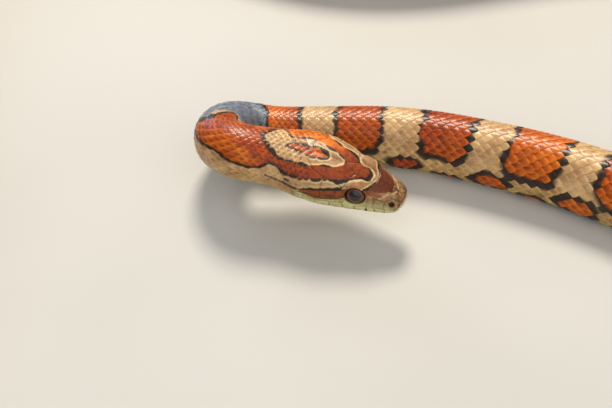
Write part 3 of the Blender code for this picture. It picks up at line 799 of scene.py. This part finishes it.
def plate_uv(s, g, a, b, size=0.003):
    """Small patch at the root's place on the unwrapped skin, which is cut into four strips."""
    strip = np.clip(np.floor((s - 8.0) / 186.0), 0, 3)
    u = (s - 8.0 - strip * 186.0) / 186.0 * 0.985 + 0.005
    v = (strip + 0.02 + 0.95 * ((0.5 + g / girth_at(s)) % 1.0)) / 4.0
    return np.stack([u[:, None] + size * a[None], v[:, None] + size * (0.5 + 0.5 * b[None])], -1)


def fleck_amount(s, g):
    """Share of the scales that carry a brown spot: most on the nape, some on the flank."""
    away = np.abs(g)
    low = away / ((girth_at(s) - BELLY(s)) / 2)
    return (1.05 * ramp(s, 15.0, 17.0) * ramp(-s, -27, -24.5) * ramp(4.6 - away, 0, 1)
            + 0.55 * ramp(s, 26.0, 29.0) * ramp(-s, -40, -35) * ramp(low, 0.35, 0.5) * ramp(-low, -0.95, -0.75)
            + 0.25 * ramp(low, 0.42, 0.62) + 0.16 * ramp(s, 34, 40))


class Coat:
    """Gathers plates and writes them as one joined mesh."""

    def __init__(self):
        self.parts, self.count, self.triangles = [], 0, 0

    def add(self, kit, s, g, length, half, coat, width, keel, tone, arch=0.0):
        """Plates with their roots at s, g. length and half width in mm; keel is a share of the coat."""
        n, a, b = len(s), kit["a"], kit["b"]
        if not n:
            return
        w = width(a)
        bb = b * w
        # the free end is drawn back at the corners of broad plates
        aa = a[None] - arch * (b[None] ** 4) * a[None] ** 3
        ss = np.clip(s[:, None] + aa * length[:, None], 0.03, TOTAL - 0.15)
        gg = g[:, None] + bb[None] * half[:, None]
        hill = 1 - b[None] ** 2
        top = -0.96 + 0.90 * a[None] ** 0.85 + 0.10 * hill - 0.13 * (1 - hill) - 0.10 * ramp(a[None], 0.85, 1.0)
        top = top + keel[:, None] * np.exp(-(bb[None] / 0.16) ** 2) * np.sin(math.pi * np.clip(a[None], 0, 1)) ** 0.8
        top = np.minimum(top, -0.02) * coat[:, None]
        loop = kit["loop"]
        under = top[:, loop] - 0.20 * coat[:, None]
        hub_a, hub_b = 0.55, 0.0
        hub_s = s + hub_a * length
        hub_h = np.full(n, 0.0) + (-0.96 + 0.90 * hub_a ** 0.85 - 0.25) * coat
        S = np.concatenate([ss, ss[:, loop], np.clip(hub_s, 0.03, TOTAL - 0.15)[:, None]], 1)
        G = np.concatenate([gg, gg[:, loop], g[:, None]], 1)
        H = np.concatenate([top, under, hub_h[:, None]], 1)
        A = np.concatenate([a, a[loop], [hub_a]])
        B = np.concatenate([b, b[loop], [hub_b]])
        p = lay(S.ravel(), G.ravel(), H.ravel()) / 1000.0
        # each scale takes part of its colour from its own middle, more so further back where scales are large
        own = 0.05 + 0.55 * ramp(s, 23, 60)[:, None]
        ms = (1 - own) * S + own * (s + 0.62 * length)[:, None]
        mg = (1 - own) * G + own * g[:, None]
        m = marks(ms.ravel(), mg.ravel())
        # a brown spot in the middle of some scales, none on the belly
        luck = [lattice(np.floor(s * 7.0), np.floor(g * 7.0 + 900), seed)[:, None] for seed in (77, 78, 79, 80)]
        big = 0.62 + 0.75 * luck[1]
        spot = np.exp(-((A[None] - 0.50 - 0.20 * luck[2]) / (0.17 * big)) ** 2 - ((B[None] - 0.5 * (luck[3] - 0.5)) / (0.40 * big)) ** 2)
        chance = ramp(fleck_amount(s + 0.6 * length, g)[:, None] - luck[0], -0.3, 0.3) * (0.45 + 0.55 * luck[3])
        m[2][:, 2] = np.maximum(m[2][:, 2], (chance * spot).ravel() * (1 - m[0][:, 0]) * (1 - m[2][:, 1]))
        rim = np.maximum(np.abs(B), np.clip((A - 0.4) / 0.6, 0, 1))
        plate = np.stack([np.repeat(tone, kit["count"]), np.tile(rim, n), np.tile(A, n)], -1)
        uv = plate_uv(s, g, A, B).reshape(n, kit["count"], 2)
        step = np.arange(n)[:, None, None] * kit["count"] + self.count
        tris, quads = kit["tris"][None] + step, kit["quads"][None] + step
        uv_t, uv_q = uv[:, kit["tris"]], uv[:, kit["quads"]]
        self.parts.append((p, m, plate, tris.reshape(-1, 3), quads.reshape(-1, 4), uv_t.reshape(-1, 2), uv_q.reshape(-1, 2)))
        self.count += n * kit["count"]
        self.triangles += n * (len(kit["tris"]) + 2 * len(kit["quads"]))

    def write(self, name, slot):
        cat = lambda k: np.concatenate([x[k] for x in self.parts])
        attributes = {"marks_" + key: np.concatenate([x[1][i] for x in self.parts]) for i, key in enumerate("abcd")}
        attributes["plate"] = cat(2)
        ob = write_mesh(name, cat(0), cat(3), cat(4), [COAT_MATERIAL], attributes, np.concatenate([cat(5), cat(6)]), sharp=48)
        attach(ob, "root")
        print("coat", name, "triangles", self.triangles)
        return ob


def dorsal_rows():
    """Roots of the body scales, row by row: dict row -> (s, g)."""
    rows = {}
    last = phase_at(748.6)
    for r in range(-17, 18):
        q = np.arange(0.5 * (r % 2), last, 1.0)
        s = s_of_phase(q)
        rng = np.random.default_rng(100 + r)
        s = s + rng.uniform(-0.05, 0.05, len(s)) * PITCH(s)
        g = r * ROW_GAP(s)
        limit = np.round((ROWS(s) - 1) / 2)
        keep = (np.abs(r) <= limit) & (s > NAPE(np.minimum(np.abs(g), 30)) - 0.75 * PITCH(s))
        rows[r] = (s[keep], g[keep], limit[keep])
    return rows


def build_coat():
    rows = dorsal_rows()
    rng = np.random.default_rng(5)
    pieces, coat, load = [], Coat(), 0
    for r in sorted(rows):
        s, g, limit = rows[r]
        near = s < 112
        estimate = near.sum() * 180 + (~near).sum() * 94
        if coat.triangles and coat.triangles + estimate > 178000:
            pieces.append(coat)
            coat = Coat()
        for part, kit in ((near, FINE), (~near, PLAIN)):
            a, b, lim = s[part], g[part], limit[part]
            if not len(a):
                continue
            stretch = np.clip(bilinear(TAB_STRETCH, a, 0.5 + b / girth_at(a)), 0.25, 3.0)
            grown = np.where(np.abs(r) >= lim, 1.12, 1.0)       # the lowest row is the largest
            length = 1.47 * PITCH(a) * np.where(stretch > 1, stretch ** -0.72, 1.0)
            half = 0.99 * ROW_GAP(a) * grown
            keel = np.full(len(a), 0.0) + 0.10 * ramp(np.abs(r) * -1.0, -7.5, -4.5) * ramp(a, 60, 130)
            coat.add(kit, a, b, length, half, COAT(a), SCALE_WIDTH, keel, rng.random(len(a)))
    pieces.append(coat)
    for k, c in enumerate(pieces):
        c.write("scales_%d" % (k + 1), "body_scales")

    belly = Coat()
    # plates of the belly, in one file of broad plates up to the vent
    q = np.arange(phase_at(BELLY_FROM), phase_at(VENT - 1.0), 1.0)
    s = s_of_phase(q)
    half_count = girth_at(s) / 2
    belly.add(BROAD, s, half_count, 1.42 * PITCH(s), (0.5 * BELLY(s) + 0.55 * ROW_GAP(s)) * (0.55 + 0.45 * ramp(s, 19, 27)),
              COAT(s), BELLY_WIDTH, np.zeros(len(s)), rng.random(len(s)), arch=0.10)
    # divided plate over the vent, then paired plates under the tail
    q = np.arange(phase_at(VENT - 1.0) + 1.0, phase_at(747.5), 1.0)
    s = s_of_phase(q)
    for sign in (-1, 1):
        g = girth_at(s) / 2 - sign * 0.25 * BELLY(s)
        belly.add(PLAIN, s, g, 1.42 * PITCH(s), 0.30 * BELLY(s) + 0.25 * ROW_GAP(s), COAT(s), SCALE_WIDTH, np.zeros(len(s)), rng.random(len(s)))
    # small scales of the throat
    for r in range(-5, 6):
        q = np.arange(phase_at(GULAR_FROM) + 0.5 * (r % 2), phase_at(24.0), 1.0)
        s = s_of_phase(q)
        across = r * 0.92 * ROW_GAP(s)
        limit = 0.5 * BELLY(s) - 0.15
        keep = (np.abs(across) < limit) & ((s < BELLY_FROM + 0.4) | (np.abs(across) > 0.5 * BELLY(s) * (0.55 + 0.45 * ramp(s, 19, 27)) - 0.3))
        keep &= s > GULAR_FROM + 0.30 * np.abs(across) * (r != 0) - 0.6
        s, across = s[keep], across[keep]
        belly.add(PLAIN, s, girth_at(s) / 2 + across, 1.4 * PITCH(s), 0.95 * ROW_GAP(s), 0.8 * COAT(s), SCALE_WIDTH, np.zeros(len(s)), rng.random(len(s)))
    belly.write("belly_plates", "body_scales")


# =====================================================================
# head: shields, mouth line, nostrils and eye rims cut into the skin
# =====================================================================
def on_top(s, y):
    phi = np.linspace(math.pi / 2, math.pi, 400)
    side, up = section(np.full(400, float(s)), phi)
    k = np.argmin(np.abs(side - abs(y)))
    return (s, abs(y), up[k])


def on_side(s, z):
    phi = np.linspace(0.05, math.pi, 600)
    side, up = section(np.full(600, float(s)), phi)
    k = np.argmin(np.abs(up - z))
    return (s, side[k], z)


def on_belly(s, y):
    phi = np.linspace(0, math.pi / 2, 400)
    side, up = section(np.full(400, float(s)), phi)
    k = np.argmin(np.abs(side - abs(y)))
    return (s, abs(y), up[k])


def on_front(y, z):
    """Point of the blunt snout for a place seen from in front."""
    best, found = 9e9, None
    for s in np.concatenate([np.arange(0.02, 0.5, 0.02), np.arange(0.5, 3.0, 0.05)]):
        phi = np.linspace(0, math.pi, 240)
        side, up = section(np.full(240, s), phi)
        d = np.hypot(side - abs(y), up - z)
        k = d.argmin()
        if d[k] < best - 1e-6:
            best, found = d[k], (s, side[k], up[k])
        if best < 0.03:
            break
    return found


def shield_seams():
    """Lines between the shields of one half of the head, as lists of points of the straightened head."""
    T, S, B, F = on_top, on_side, on_belly, on_front
    lip = lambda s: S(s, float(LIP(s)))
    return [
        # rostral, internasals, prefrontals
        [T(0.95, 0), F(1.15, 2.75), F(1.6, 2.05), F(1.5, 1.25)],
        [T(0.95, 0), T(2.6, 0)],
        [F(1.15, 2.75), T(1.3, 1.7), T(2.0, 1.95)],
        [T(2.6, 0), T(2.4, 1.1), T(2.0, 1.95)],
        [T(2.6, 0), T(5.2, 0)],
        # frontal, supraocular, parietals
        [T(5.2, 0), T(5.15, 0.8), T(5.35, 1.45)],
        [T(5.35, 1.45), T(7.0, 1.2), T(8.6, 1.3)],
        [T(8.6, 1.3), T(9.6, 0.75), T(10.7, 0)],
        [T(5.35, 1.45), T(5.9, 2.2), S(6.0, 4.89)],
        [T(8.6, 1.3), T(9.1, 2.2), T(9.4, 3.3), S(9.75, 5.27)],
        [T(10.7, 0), T(13.5, 0.06), T(16.1, 0)],
        [S(9.75, 5.27), T(11.2, 4.0), T(13.2, 4.2), T(15.2, 3.6), T(16.6, 2.3), T(16.75, 1.2), T(16.1, 0)],
        # nasals, loreal, preocular
        [T(2.0, 1.95), S(2.2, 3.6), S(2.95, 3.44)],
        [S(2.2, 3.6), S(1.9, 3.3)],
        [S(1.75, 2.65), S(1.8, 1.94)],
        [F(1.6, 2.05), S(1.8, 1.94), S(2.95, 2.09), S(4.7, 2.21), S(5.75, 2.39)],
        [S(2.95, 3.44), S(2.95, 2.09)],
        [S(2.95, 3.44), S(4.5, 3.81), S(5.3, 4.37), S(6.0, 4.89)],
        [S(4.5, 3.81), S(4.7, 2.21)],
        # behind the eye
        [S(9.75, 5.27), S(10.7, 4.91), S(10.8, 3.79), S(10.5, 2.61)],
        [S(9.35, 3.88), S(10.8, 3.79)],
        [S(9.25, 2.77), S(10.5, 2.61)],
        [S(10.8, 3.79), S(13.2, 4.02)],
        [T(13.2, 4.2), S(13.3, 5.04), S(13.1, 4.02), S(13.0, 2.73)],
        [S(13.3, 4.77), S(16.2, 5.16)],
        [S(13.1, 3.53), S(16.2, 3.79)],
        [T(15.2, 3.6), S(15.9, 6.11), S(16.2, 5.16), S(16.0, 3.78), S(16.0, 2.90)],
        # upper lip
        [S(9.25, 2.77), S(9.5, 2.52), S(10.5, 2.61), S(13.0, 2.73), S(16.0, 2.90), S(18.6, 3.09)],
        *[[lip(s), S(s + 0.1, z)] for s, z in ((2.6, 2.03), (4.2, 2.19), (5.45, 2.28), (7.35, 1.98), (9.3, 2.51), (11.4, 2.63), (13.8, 2.75), (16.2, 2.9))],
        # lower lip and chin
        [F(0.95, 1.0), B(1.7, 0.0)],
        [B(1.7, 0.0), B(2.2, 1.0), B(4.0, 1.95), B(7.0, 2.65), B(10.0, 3.35), B(14.0, 4.2), B(17.5, 4.7)],
        *[[lip(s), B(s + 0.35, y)] for s, y in ((2.0, 1.25), (3.2, 1.75), (4.5, 2.15), (6.0, 2.5), (7.8, 2.9), (9.8, 3.35), (11.8, 3.8), (13.8, 4.2), (15.8, 4.5))],
        [B(1.7, 0.0), B(8.6, 0.0)],
        [B(5.4, 0.0), B(5.9, 1.2), B(5.7, 2.35)],
        [B(8.6, 0.0), B(9.0, 1.2), B(8.2, 2.9)],
    ]


def densify(lines, step=0.035, both_sides=True):
    pts = []
    for line in lines:
        for p, q in zip(line[:-1], line[1:]):
            p, q = np.array(p, float), np.array(q, float)
            n = max(1, int(np.linalg.norm(q - p) / step))
            pts.append(p + (q - p) * (np.arange(n + 1)[:, None] / n))
    pts = np.concatenate(pts)
    if both_sides:
        pts = np.concatenate([pts, pts * (1, -1, 1)])
    return pts


def settle(points, tree, base, normals):
    """Moves points on to the surface along the nearest normal."""
    out = np.empty_like(points)
    for k, p in enumerate(points):
        for _ in range(2):
            _, i, _ = tree.find(p)
            p = p - ((p - base[i]) @ normals[i]) * normals[i]
        out[k] = p
    return out


def eye_axes(side):
    """Centre and axes of an eye in the straightened head, where forward is -s and left is +y."""
    forward, left, up = np.array([-1.0, 0, 0]), np.array([0, 1.0, 0]), np.array([0, 0, 1.0])
    tilt, toe = math.radians(EYE_TILT), math.radians(EYE_TOE)
    out = unit(left * side * math.cos(tilt) + up * math.sin(tilt) + forward * math.sin(toe))
    x = unit(forward - out * (forward @ out))
    z = np.cross(x, out)
    z = z * np.sign(z[2])
    return np.array([EYE_AT, side * EYE_SIDE, EYE_UP]), x, out, z


HEAD_COLUMNS, SPLIT = 264, 4
HEAD_TO = 25.0


def head_rings():
    """Stations of the head rings, evenly spaced along its profile."""
    s = np.concatenate([np.linspace(0.0, 1.0, 400) ** 2 * 1.0, np.arange(1.01, HEAD_TO + 0.01, 0.01)])
    run = np.concatenate([[0.0], np.cumsum(np.sqrt(np.diff(s) ** 2 + (0.8 * np.diff(HALF_WIDTH(s))) ** 2 + 0.3 * np.diff(TOP(s)) ** 2))])
    return np.interp(np.arange(0.06, run[-1], 0.118), run, s)


def build_skin():
    s = head_rings()
    phi, girth = even_rings(s, HEAD_COLUMNS)
    side, up = section(s[:, None] + 0 * phi, phi)
    X = np.stack([s[:, None] + 0 * phi, side, up], -1)          # straightened head, last column repeats the first
    N = grid_normals(X)
    n, m = len(s), HEAD_COLUMNS
    X, N = X[:, :-1].reshape(-1, 3), N[:, :-1].reshape(-1, 3)
    g = ((np.arange(m) / m - 0.5)[None] * girth[:, None]).ravel()
    S0 = X[:, 0].copy()

    tree = KDTree(len(X))
    for k, p in enumerate(X.tolist()):
        tree.insert(p, k)
    tree.balance()
    seams = settle(densify(shield_seams()), tree, X, N)
    mouth = settle(densify([[on_front(0.0, 1.2), on_front(0.7, 1.18), on_front(1.35, 1.15)] +
                            [on_side(a, float(LIP(a))) for a in (1.6, 2.4, 3.6, 5, 7, 9, 11, 13, 14.5, 16, 17.2, 18.4)]]), tree, X, N)
    d_seam, i_seam = nearest(seams.tolist(), X)
    d_lip, i_lip = nearest(mouth.tolist(), X)

    away = np.abs(g)
    behind = ramp(S0 - NAPE(np.minimum(away, 30)), -0.2, 1.8)      # 0 on the shields, 1 under the small scales
    throat = ramp(S0 - (GULAR_FROM + 0.9 + 0.3 * np.abs(girth_at(S0) / 2 - away)), -0.8, 1.0) * (away > (girth_at(S0) - BELLY(S0)) / 2 - 0.4)
    behind = np.maximum(behind, throat)
    coat = COAT(np.maximum(S0, 8.0))

    # slide points on to the seams so that the grooves run clean
    def slide(target, index, dist, reach, amount):
        near = dist < reach
        X[near] += (target[index[near]] - X[near]) * amount
    free = behind < 0.5
    slide(seams, i_seam, np.where(free, d_seam, 9), 0.055, 0.85)
    slide(mouth, i_lip, d_lip, 0.06, 0.9)

    # plates: slightly domed, each at a level of its own, with a groove between
    h = -0.085 + 0.055 * (1 - np.exp(-d_seam / 0.30)) - 0.085 * np.exp(-(d_seam / 0.085) ** 2)
    # soft form of the skull: hollow before the eye, brow, jaw muscle, dip down the middle of the crown
    hollow = lambda s0, z0, rs, rz, depth: -depth * np.exp(-((S0 - s0) / rs) ** 2 - ((X[:, 2] - z0) / rz) ** 2) * (away > 1.5)
    h += hollow(4.1, 3.0, 1.3, 0.7, 0.20) + hollow(11.6, 3.8, 1.6, 0.8, 0.10)
    h += -0.07 * np.exp(-(X[:, 1] / 0.8) ** 2) * ramp(S0, 9.5, 12) * ramp(-S0, -18, -15)
    # mouth: the upper lip stands a little over the lower
    below = ramp(LIP(np.clip(S0, 0, 20)) - X[:, 2], 0.0, 0.10) * (S0 < 18.6)
    h += -0.10 * below * np.exp(-d_lip / 0.7) * ramp(-S0, -18.4, -16.5)
    h += -0.26 * np.exp(-(d_lip / 0.10) ** 2) * ramp(-S0, -18.6, -18.2)
    # under the small scales the skin lies lower, by the depth of the coat
    h = h * (1 - behind) - (0.97 * coat + 0.02) * behind

    # nostrils, with a mask of each hollow for its painted shade
    nostril_shade_masks = {}
    for sign in (-1, 1):
        c = np.array(on_side(1.72, 2.98)) * (1, sign, 1)
        c = settle(c[None], tree, X, N)[0]
        i = tree.find(c)[1]
        nn = N[i]
        ax = unit(np.array([1.0, 0, 0]) - nn * nn[0])
        az = np.cross(ax, nn)
        rel = X - c
        u, w = rel @ ax / 0.62, rel @ az / 0.49
        r = np.hypot(u, w)
        near = np.abs(rel @ nn) < 1.0
        snap = near & (r > 0.80) & (r < 1.22)
        X[snap] += ((u / r - u)[snap, None] * 0.62 * ax + (w / r - w)[snap, None] * 0.49 * az) * 0.85
        r = np.where(snap, 1.0 + (r - 1) * 0.15, r)
        h = np.where(near & (r < 1.0), -0.05 - 0.60 * ramp(1.0 - r, 0.0, 0.6), h)
        h = h + np.where(near, 0.05 * np.exp(-((r - 1.25) / 0.25) ** 2), 0)
        # painted shade: dark in the nostril hollow, fading over its rim
        nostril_shade_masks[sign] = np.where(near, 1 - ramp(r, 0.75, 1.1), 0)

    P = X + h[:, None] * N
    # eye rims
    socket = np.zeros(len(P))
    rx, rz, ro = EYE_RADII[0], EYE_RADII[1], EYE_RADII[2]
    for sign in (-1, 1):
        c, ax, out, az = eye_axes(sign)
        rel = P - c
        u, w, o = rel @ ax, rel @ az, rel @ out
        r = np.hypot(u / rx, w / rz)
        near = (r < 1.9) & (o > -0.9)
        # put the points nearest to the opening exactly on it
        snap = near & (r > 0.955) & (r < 1.045)
        f = np.where(snap, 1.0 / np.maximum(r, 1e-6), 1.0)
        u, w = u * f, w * f
        r = np.where(snap, 1.0, r)
        up_share = np.clip(w / np.maximum(np.hypot(u, w), 1e-6), -1, 1)
        lid = 0.40 + 0.14 * ramp(up_share, 0.1, 0.95) - 0.04 * ramp(-up_share, 0.2, 1.0)       # the brow stands out furthest
        pull = 1 - ramp(r, 1.08, 1.62)
        o2 = o + (np.maximum(lid - 0.03 * (r - 1) / 0.1, o - 0.25) - o) * pull
        o2 = o2 + 0.045 * np.exp(-((r - 1.06) / 0.05) ** 2) * near - 0.07 * np.exp(-((r - 1.17) / 0.045) ** 2) * near
        inside = r < 0.999
        o2 = np.where(inside, np.maximum(lid - 1.6 * (1.0 - r) / 0.12, -0.25), o2)
        Q = c + u[:, None] * ax + w[:, None] * az + o2[:, None] * out
        P = np.where(near[:, None], Q, P)
        # painted shade: mask of the fold where the lid meets the eye
        socket = np.maximum(socket, np.where(near, 1 - ramp(r, 1.0, 1.1), 0))

    head = to_world(P[:, 0], P[:, 1], P[:, 2]) / 1000.0
    head_index = np.arange(n * m).reshape(n, m)

    # body rings carry on behind the head with a quarter of the columns
    bm = m // SPLIT
    bs = np.concatenate([np.arange(s[-1] + 0.5, 60, 0.75), np.arange(60.5, 130, 1.2), np.arange(130.5, 745.5, 1.7), [746.5, 747.6, 748.5, 749.2, 749.6]])
    v = np.arange(bm) / bm
    bg = (v - 0.5)[None] * girth_at(bs)[:, None]
    bh = -(0.97 * COAT(bs) + 0.02)[:, None] + 0 * bg
    shrink = np.minimum(1.0, girth_at(bs) / 4.0)[:, None]
    body = lay((bs[:, None] + 0 * bg).ravel(), bg.ravel(), (bh * shrink).ravel()) / 1000.0
    body_index = n * m + np.arange(len(bs) * bm).reshape(-1, bm)
    verts = np.concatenate([head, body])
    tip_front, tip_back = len(verts), len(verts) + 1
    verts = np.concatenate([verts, head[:m].mean(0)[None], body[-bm:].mean(0)[None]])

    def ring_quads(index, reverse=False):
        a, b = index[:-1], index[1:]
        q = np.stack([a, b, np.roll(b, -1, 1), np.roll(a, -1, 1)], -1)
        return q.reshape(-1, 4)
    quads = np.concatenate([ring_quads(head_index), ring_quads(body_index)])
    cap = [np.stack([np.full(m, tip_front), head_index[0], np.roll(head_index[0], -1)], -1),
           np.stack([np.full(bm, tip_back), np.roll(body_index[-1], -1), body_index[-1]], -1)]
    # the step from fine to coarse columns
    last, first = head_index[-1], body_index[0]
    for j in range(bm):
        k = (j + 1) % bm
        f = [last[(j * SPLIT + i) % m] for i in range(SPLIT + 1)]
        cap.append(np.array([(f[0], first[j], f[1]), (f[1], first[j], f[2]), (f[2], first[j], first[k]), (f[2], first[k], f[3]), (f[3], first[k], f[4])]))
    tris = np.concatenate(cap)

    all_s = np.concatenate([S0, np.repeat(bs, bm), [0.02, 749.6]])
    all_g = np.concatenate([g, bg.ravel(), [0.0, 0.0]])
    column = np.concatenate([np.tile(np.arange(m) / m, n), np.tile(v, len(bs)), [0.5, 0.5]])
    ma, mb, mc, md = marks(all_s, all_g)
    seam = np.zeros(len(verts))
    seam[:n * m] = np.exp(-(d_seam / 0.10) ** 2) * (1 - behind) + 0.9 * np.exp(-(d_lip / 0.13) ** 2)
    # painted shade: the hollow of each nostril dark maroon and half black
    nostril_shade = np.maximum(nostril_shade_masks[-1], nostril_shade_masks[1])
    # painted shade: the fold where the lid meets each eye nearly black
    ma[:n * m, 1] = np.maximum(ma[:n * m, 1], np.maximum(0.55 * nostril_shade, 0.85 * socket))
    mb[:n * m, 0] = np.maximum(mb[:n * m, 0], nostril_shade)
    # between the scales the skin is duller and darker
    seam[n * m:] = 0.8
    seam[:n * m] = np.maximum(seam[:n * m], 0.8 * behind)

    # unwrap: the head takes the upper half, the body four strips below it
    run = np.concatenate([[0.0], np.cumsum(np.hypot(np.diff(s), np.diff(HALF_WIDTH(s))))])
    def place_uv(vert, col):
        head_part = vert < n * m
        ring = np.where(head_part, vert // m, 0)
        hu, hv = 0.003 + 0.994 * col, 0.503 + 0.494 * run[np.clip(ring, 0, n - 1)] / run[-1]
        ss = all_s[vert]
        return head_part, hu, hv, ss, col
    def face_uv(faces):
        col = column[faces]
        wide = (col.max(1) - col.min(1)) > 0.5
        col = np.where(wide[:, None] & (col < 0.5), col + 1.0, col)
        head_part, hu, hv, ss, _ = place_uv(faces, col)
        in_head = head_part.all(1) | (faces == tip_front).any(1)
        mid = np.clip(ss.mean(1), s[-1], 749.9)
        strip = np.clip(np.floor((mid - 24.0) / 182.0), 0, 3)[:, None]
        bu = 0.004 + 0.985 * np.clip((ss - 24.0 - strip * 182.0) / 184.0, 0, 1)
        bv = (strip + 0.04 + 0.92 * col) / 8.0
        hv = np.where(faces == tip_front, 0.5012, hv)
        return np.where(in_head[:, None], hu, bu), np.where(in_head[:, None], hv, bv)
    ut, vt = face_uv(tris)
    uq, vq = face_uv(quads)
    uvs = np.concatenate([np.stack([ut, vt], -1).reshape(-1, 2), np.stack([uq, vq], -1).reshape(-1, 2)])
    ob = write_mesh("skin", verts, tris, quads, [SKIN_MATERIAL], {"marks_a": ma, "marks_b": mb, "marks_c": mc, "marks_d": md, "seam": seam}, uvs)
    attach(ob, "root")
    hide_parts("head", "neck", "trunk_1", "trunk_2", "trunk_3", "trunk_4", "trunk_5", "tail")
    print("skin triangles", len(tris) + 2 * len(quads), "rings", n)
    return ob


def build_eye(side, node):
    """Fine ellipsoid over the plain one, with the pupil's pole turned out of the head."""
    c, ax, out, az = eye_axes(side)
    seg, rings = 64, 40
    t = np.linspace(0, math.pi, rings + 1)[1:-1]
    a = np.arange(seg) * 2 * math.pi / seg
    r = np.sin(t)[:, None] * np.ones(seg)
    lx, lz, lo = r * np.cos(a), r * np.sin(a), np.cos(t)[:, None] * np.ones(seg)
    local = np.stack([lx * EYE_RADII[0], lo * EYE_RADII[2], lz * EYE_RADII[1]], -1).reshape(-1, 3)
    local = np.concatenate([local, [[0, EYE_RADII[2], 0], [0, -EYE_RADII[2], 0]]])
    P = c + local[:, :1] * ax + local[:, 1:2] * out + local[:, 2:] * az
    # the eye keeps its own place: the head's frame at its centre, as in the solids
    place, left, up = frame_at(np.array(EYE_AT))
    forward = np.cross(left, up)
    rel = P - np.array([EYE_AT, 0, 0])
    world = place + (-rel[:, :1]) * forward + rel[:, 1:2] * left + rel[:, 2:] * up
    index = np.arange((rings - 1) * seg).reshape(rings - 1, seg)
    a0, b0 = index[:-1], index[1:]
    quads = np.stack([a0, b0, np.roll(b0, -1, 1), np.roll(a0, -1, 1)], -1).reshape(-1, 4)
    north, south = len(world) - 2, len(world) - 1
    tris = np.concatenate([np.stack([np.full(seg, north), index[0], np.roll(index[0], -1)], -1),
                           np.stack([np.full(seg, south), np.roll(index[-1], -1), index[-1]], -1)])
    # outward facing
    centre = world.mean(0)
    p0, p1, p2 = (world[quads[:, k]] for k in (0, 1, 2))
    if (np.cross(p1 - p0, p2 - p0) * (p0 - centre)).sum() < 0:
        quads, tris = quads[:, ::-1], tris[:, ::-1]
    unit_ball = np.concatenate([np.stack([lx.ravel(), lo.ravel(), lz.ravel()], -1), [[0, 1, 0], [0, -1, 0]]])
    gaze = np.array([0.0, math.cos(math.radians(17)), math.sin(math.radians(17))])     # the pupil sits a little high
    facing = unit_ball @ gaze
    radius = np.where(facing > 0, np.sqrt(np.maximum(1 - facing**2, 0)), 1.0)
    turn = np.concatenate([np.tile(a, rings - 1), [0.0, 0.0]])
    ob = write_mesh(node + "_ball", world / 1000.0, tris, quads, [EYE_MATERIAL], {"iris": np.stack([radius, turn, 0 * turn], -1)})
    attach(ob, "root")
    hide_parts(node)
    return ob


build_skin()
build_coat()
build_eye(1, "eye_left")
build_eye(-1, "eye_right")


# =====================================================================
# floor, light, camera
# =====================================================================
def floor_material():
    t = Nodes("floor_paper")
    soft = t.noise(0.02, 2.0, 0.5)
    t.link(t.mix(t.span(soft, 0.3, 0.7, 0.0, 1.0), rgb(204, 204, 203), rgb(199, 199, 198)), t.shader.inputs["Base Color"])
    t.shader.inputs["Roughness"].default_value = 0.85
    return t.material


bpy.ops.mesh.primitive_plane_add(size=6.0, location=(0, 0, 0))
floor = bpy.context.object
floor.name = "floor"
floor.data.materials.append(floor_material())


def area_light(name, place, target, size, watts, colour):
    data = bpy.data.lights.new(name, "AREA")
    data.shape = "DISK"
    data.size = size
    data.energy = watts
    data.color = colour
    ob = bpy.data.objects.new(name, data)
    bpy.context.scene.collection.objects.link(ob)
    ob.location = place
    ob.rotation_euler = (Vector(target) - Vector(place)).to_track_quat("-Z", "Y").to_euler()
    return ob


HEAD_AT = (-0.03, 0.018, 0.01)
area_light("key", (-0.04, 0.46, 0.50), HEAD_AT, 0.20, 4.4, (1.0, 0.90, 0.74))
area_light("fill", (0.12, -0.46, 0.52), HEAD_AT, 1.3, 3.6, (1.0, 0.95, 0.86))
area_light("sky", (-0.50, 0.72, 0.26), HEAD_AT, 0.45, 2.0, (0.58, 0.76, 1.0))

world = bpy.data.worlds.new("studio")
bpy.context.scene.world = world
world.use_nodes = True
world.node_tree.nodes["Background"].inputs[0].default_value = (1.0, 0.97, 0.92, 1.0)
world.node_tree.nodes["Background"].inputs[1].default_value = 0.34

camera = bpy.data.cameras.new("camera")
camera.sensor_width = 36.0
camera.lens = 100.0
camera.clip_start = 0.005
camera.clip_end = 20.0
cam = bpy.data.objects.new("camera", camera)
bpy.context.scene.collection.objects.link(cam)
cam.location = (-0.0276515, -0.1715088, 0.213713)
cam.rotation_euler = (math.radians(43.0), 0.0, 0.0)
bpy.context.scene.camera = cam
bpy.context.scene.view_settings.view_transform = "Standard"

bpy.context.view_layer.update()
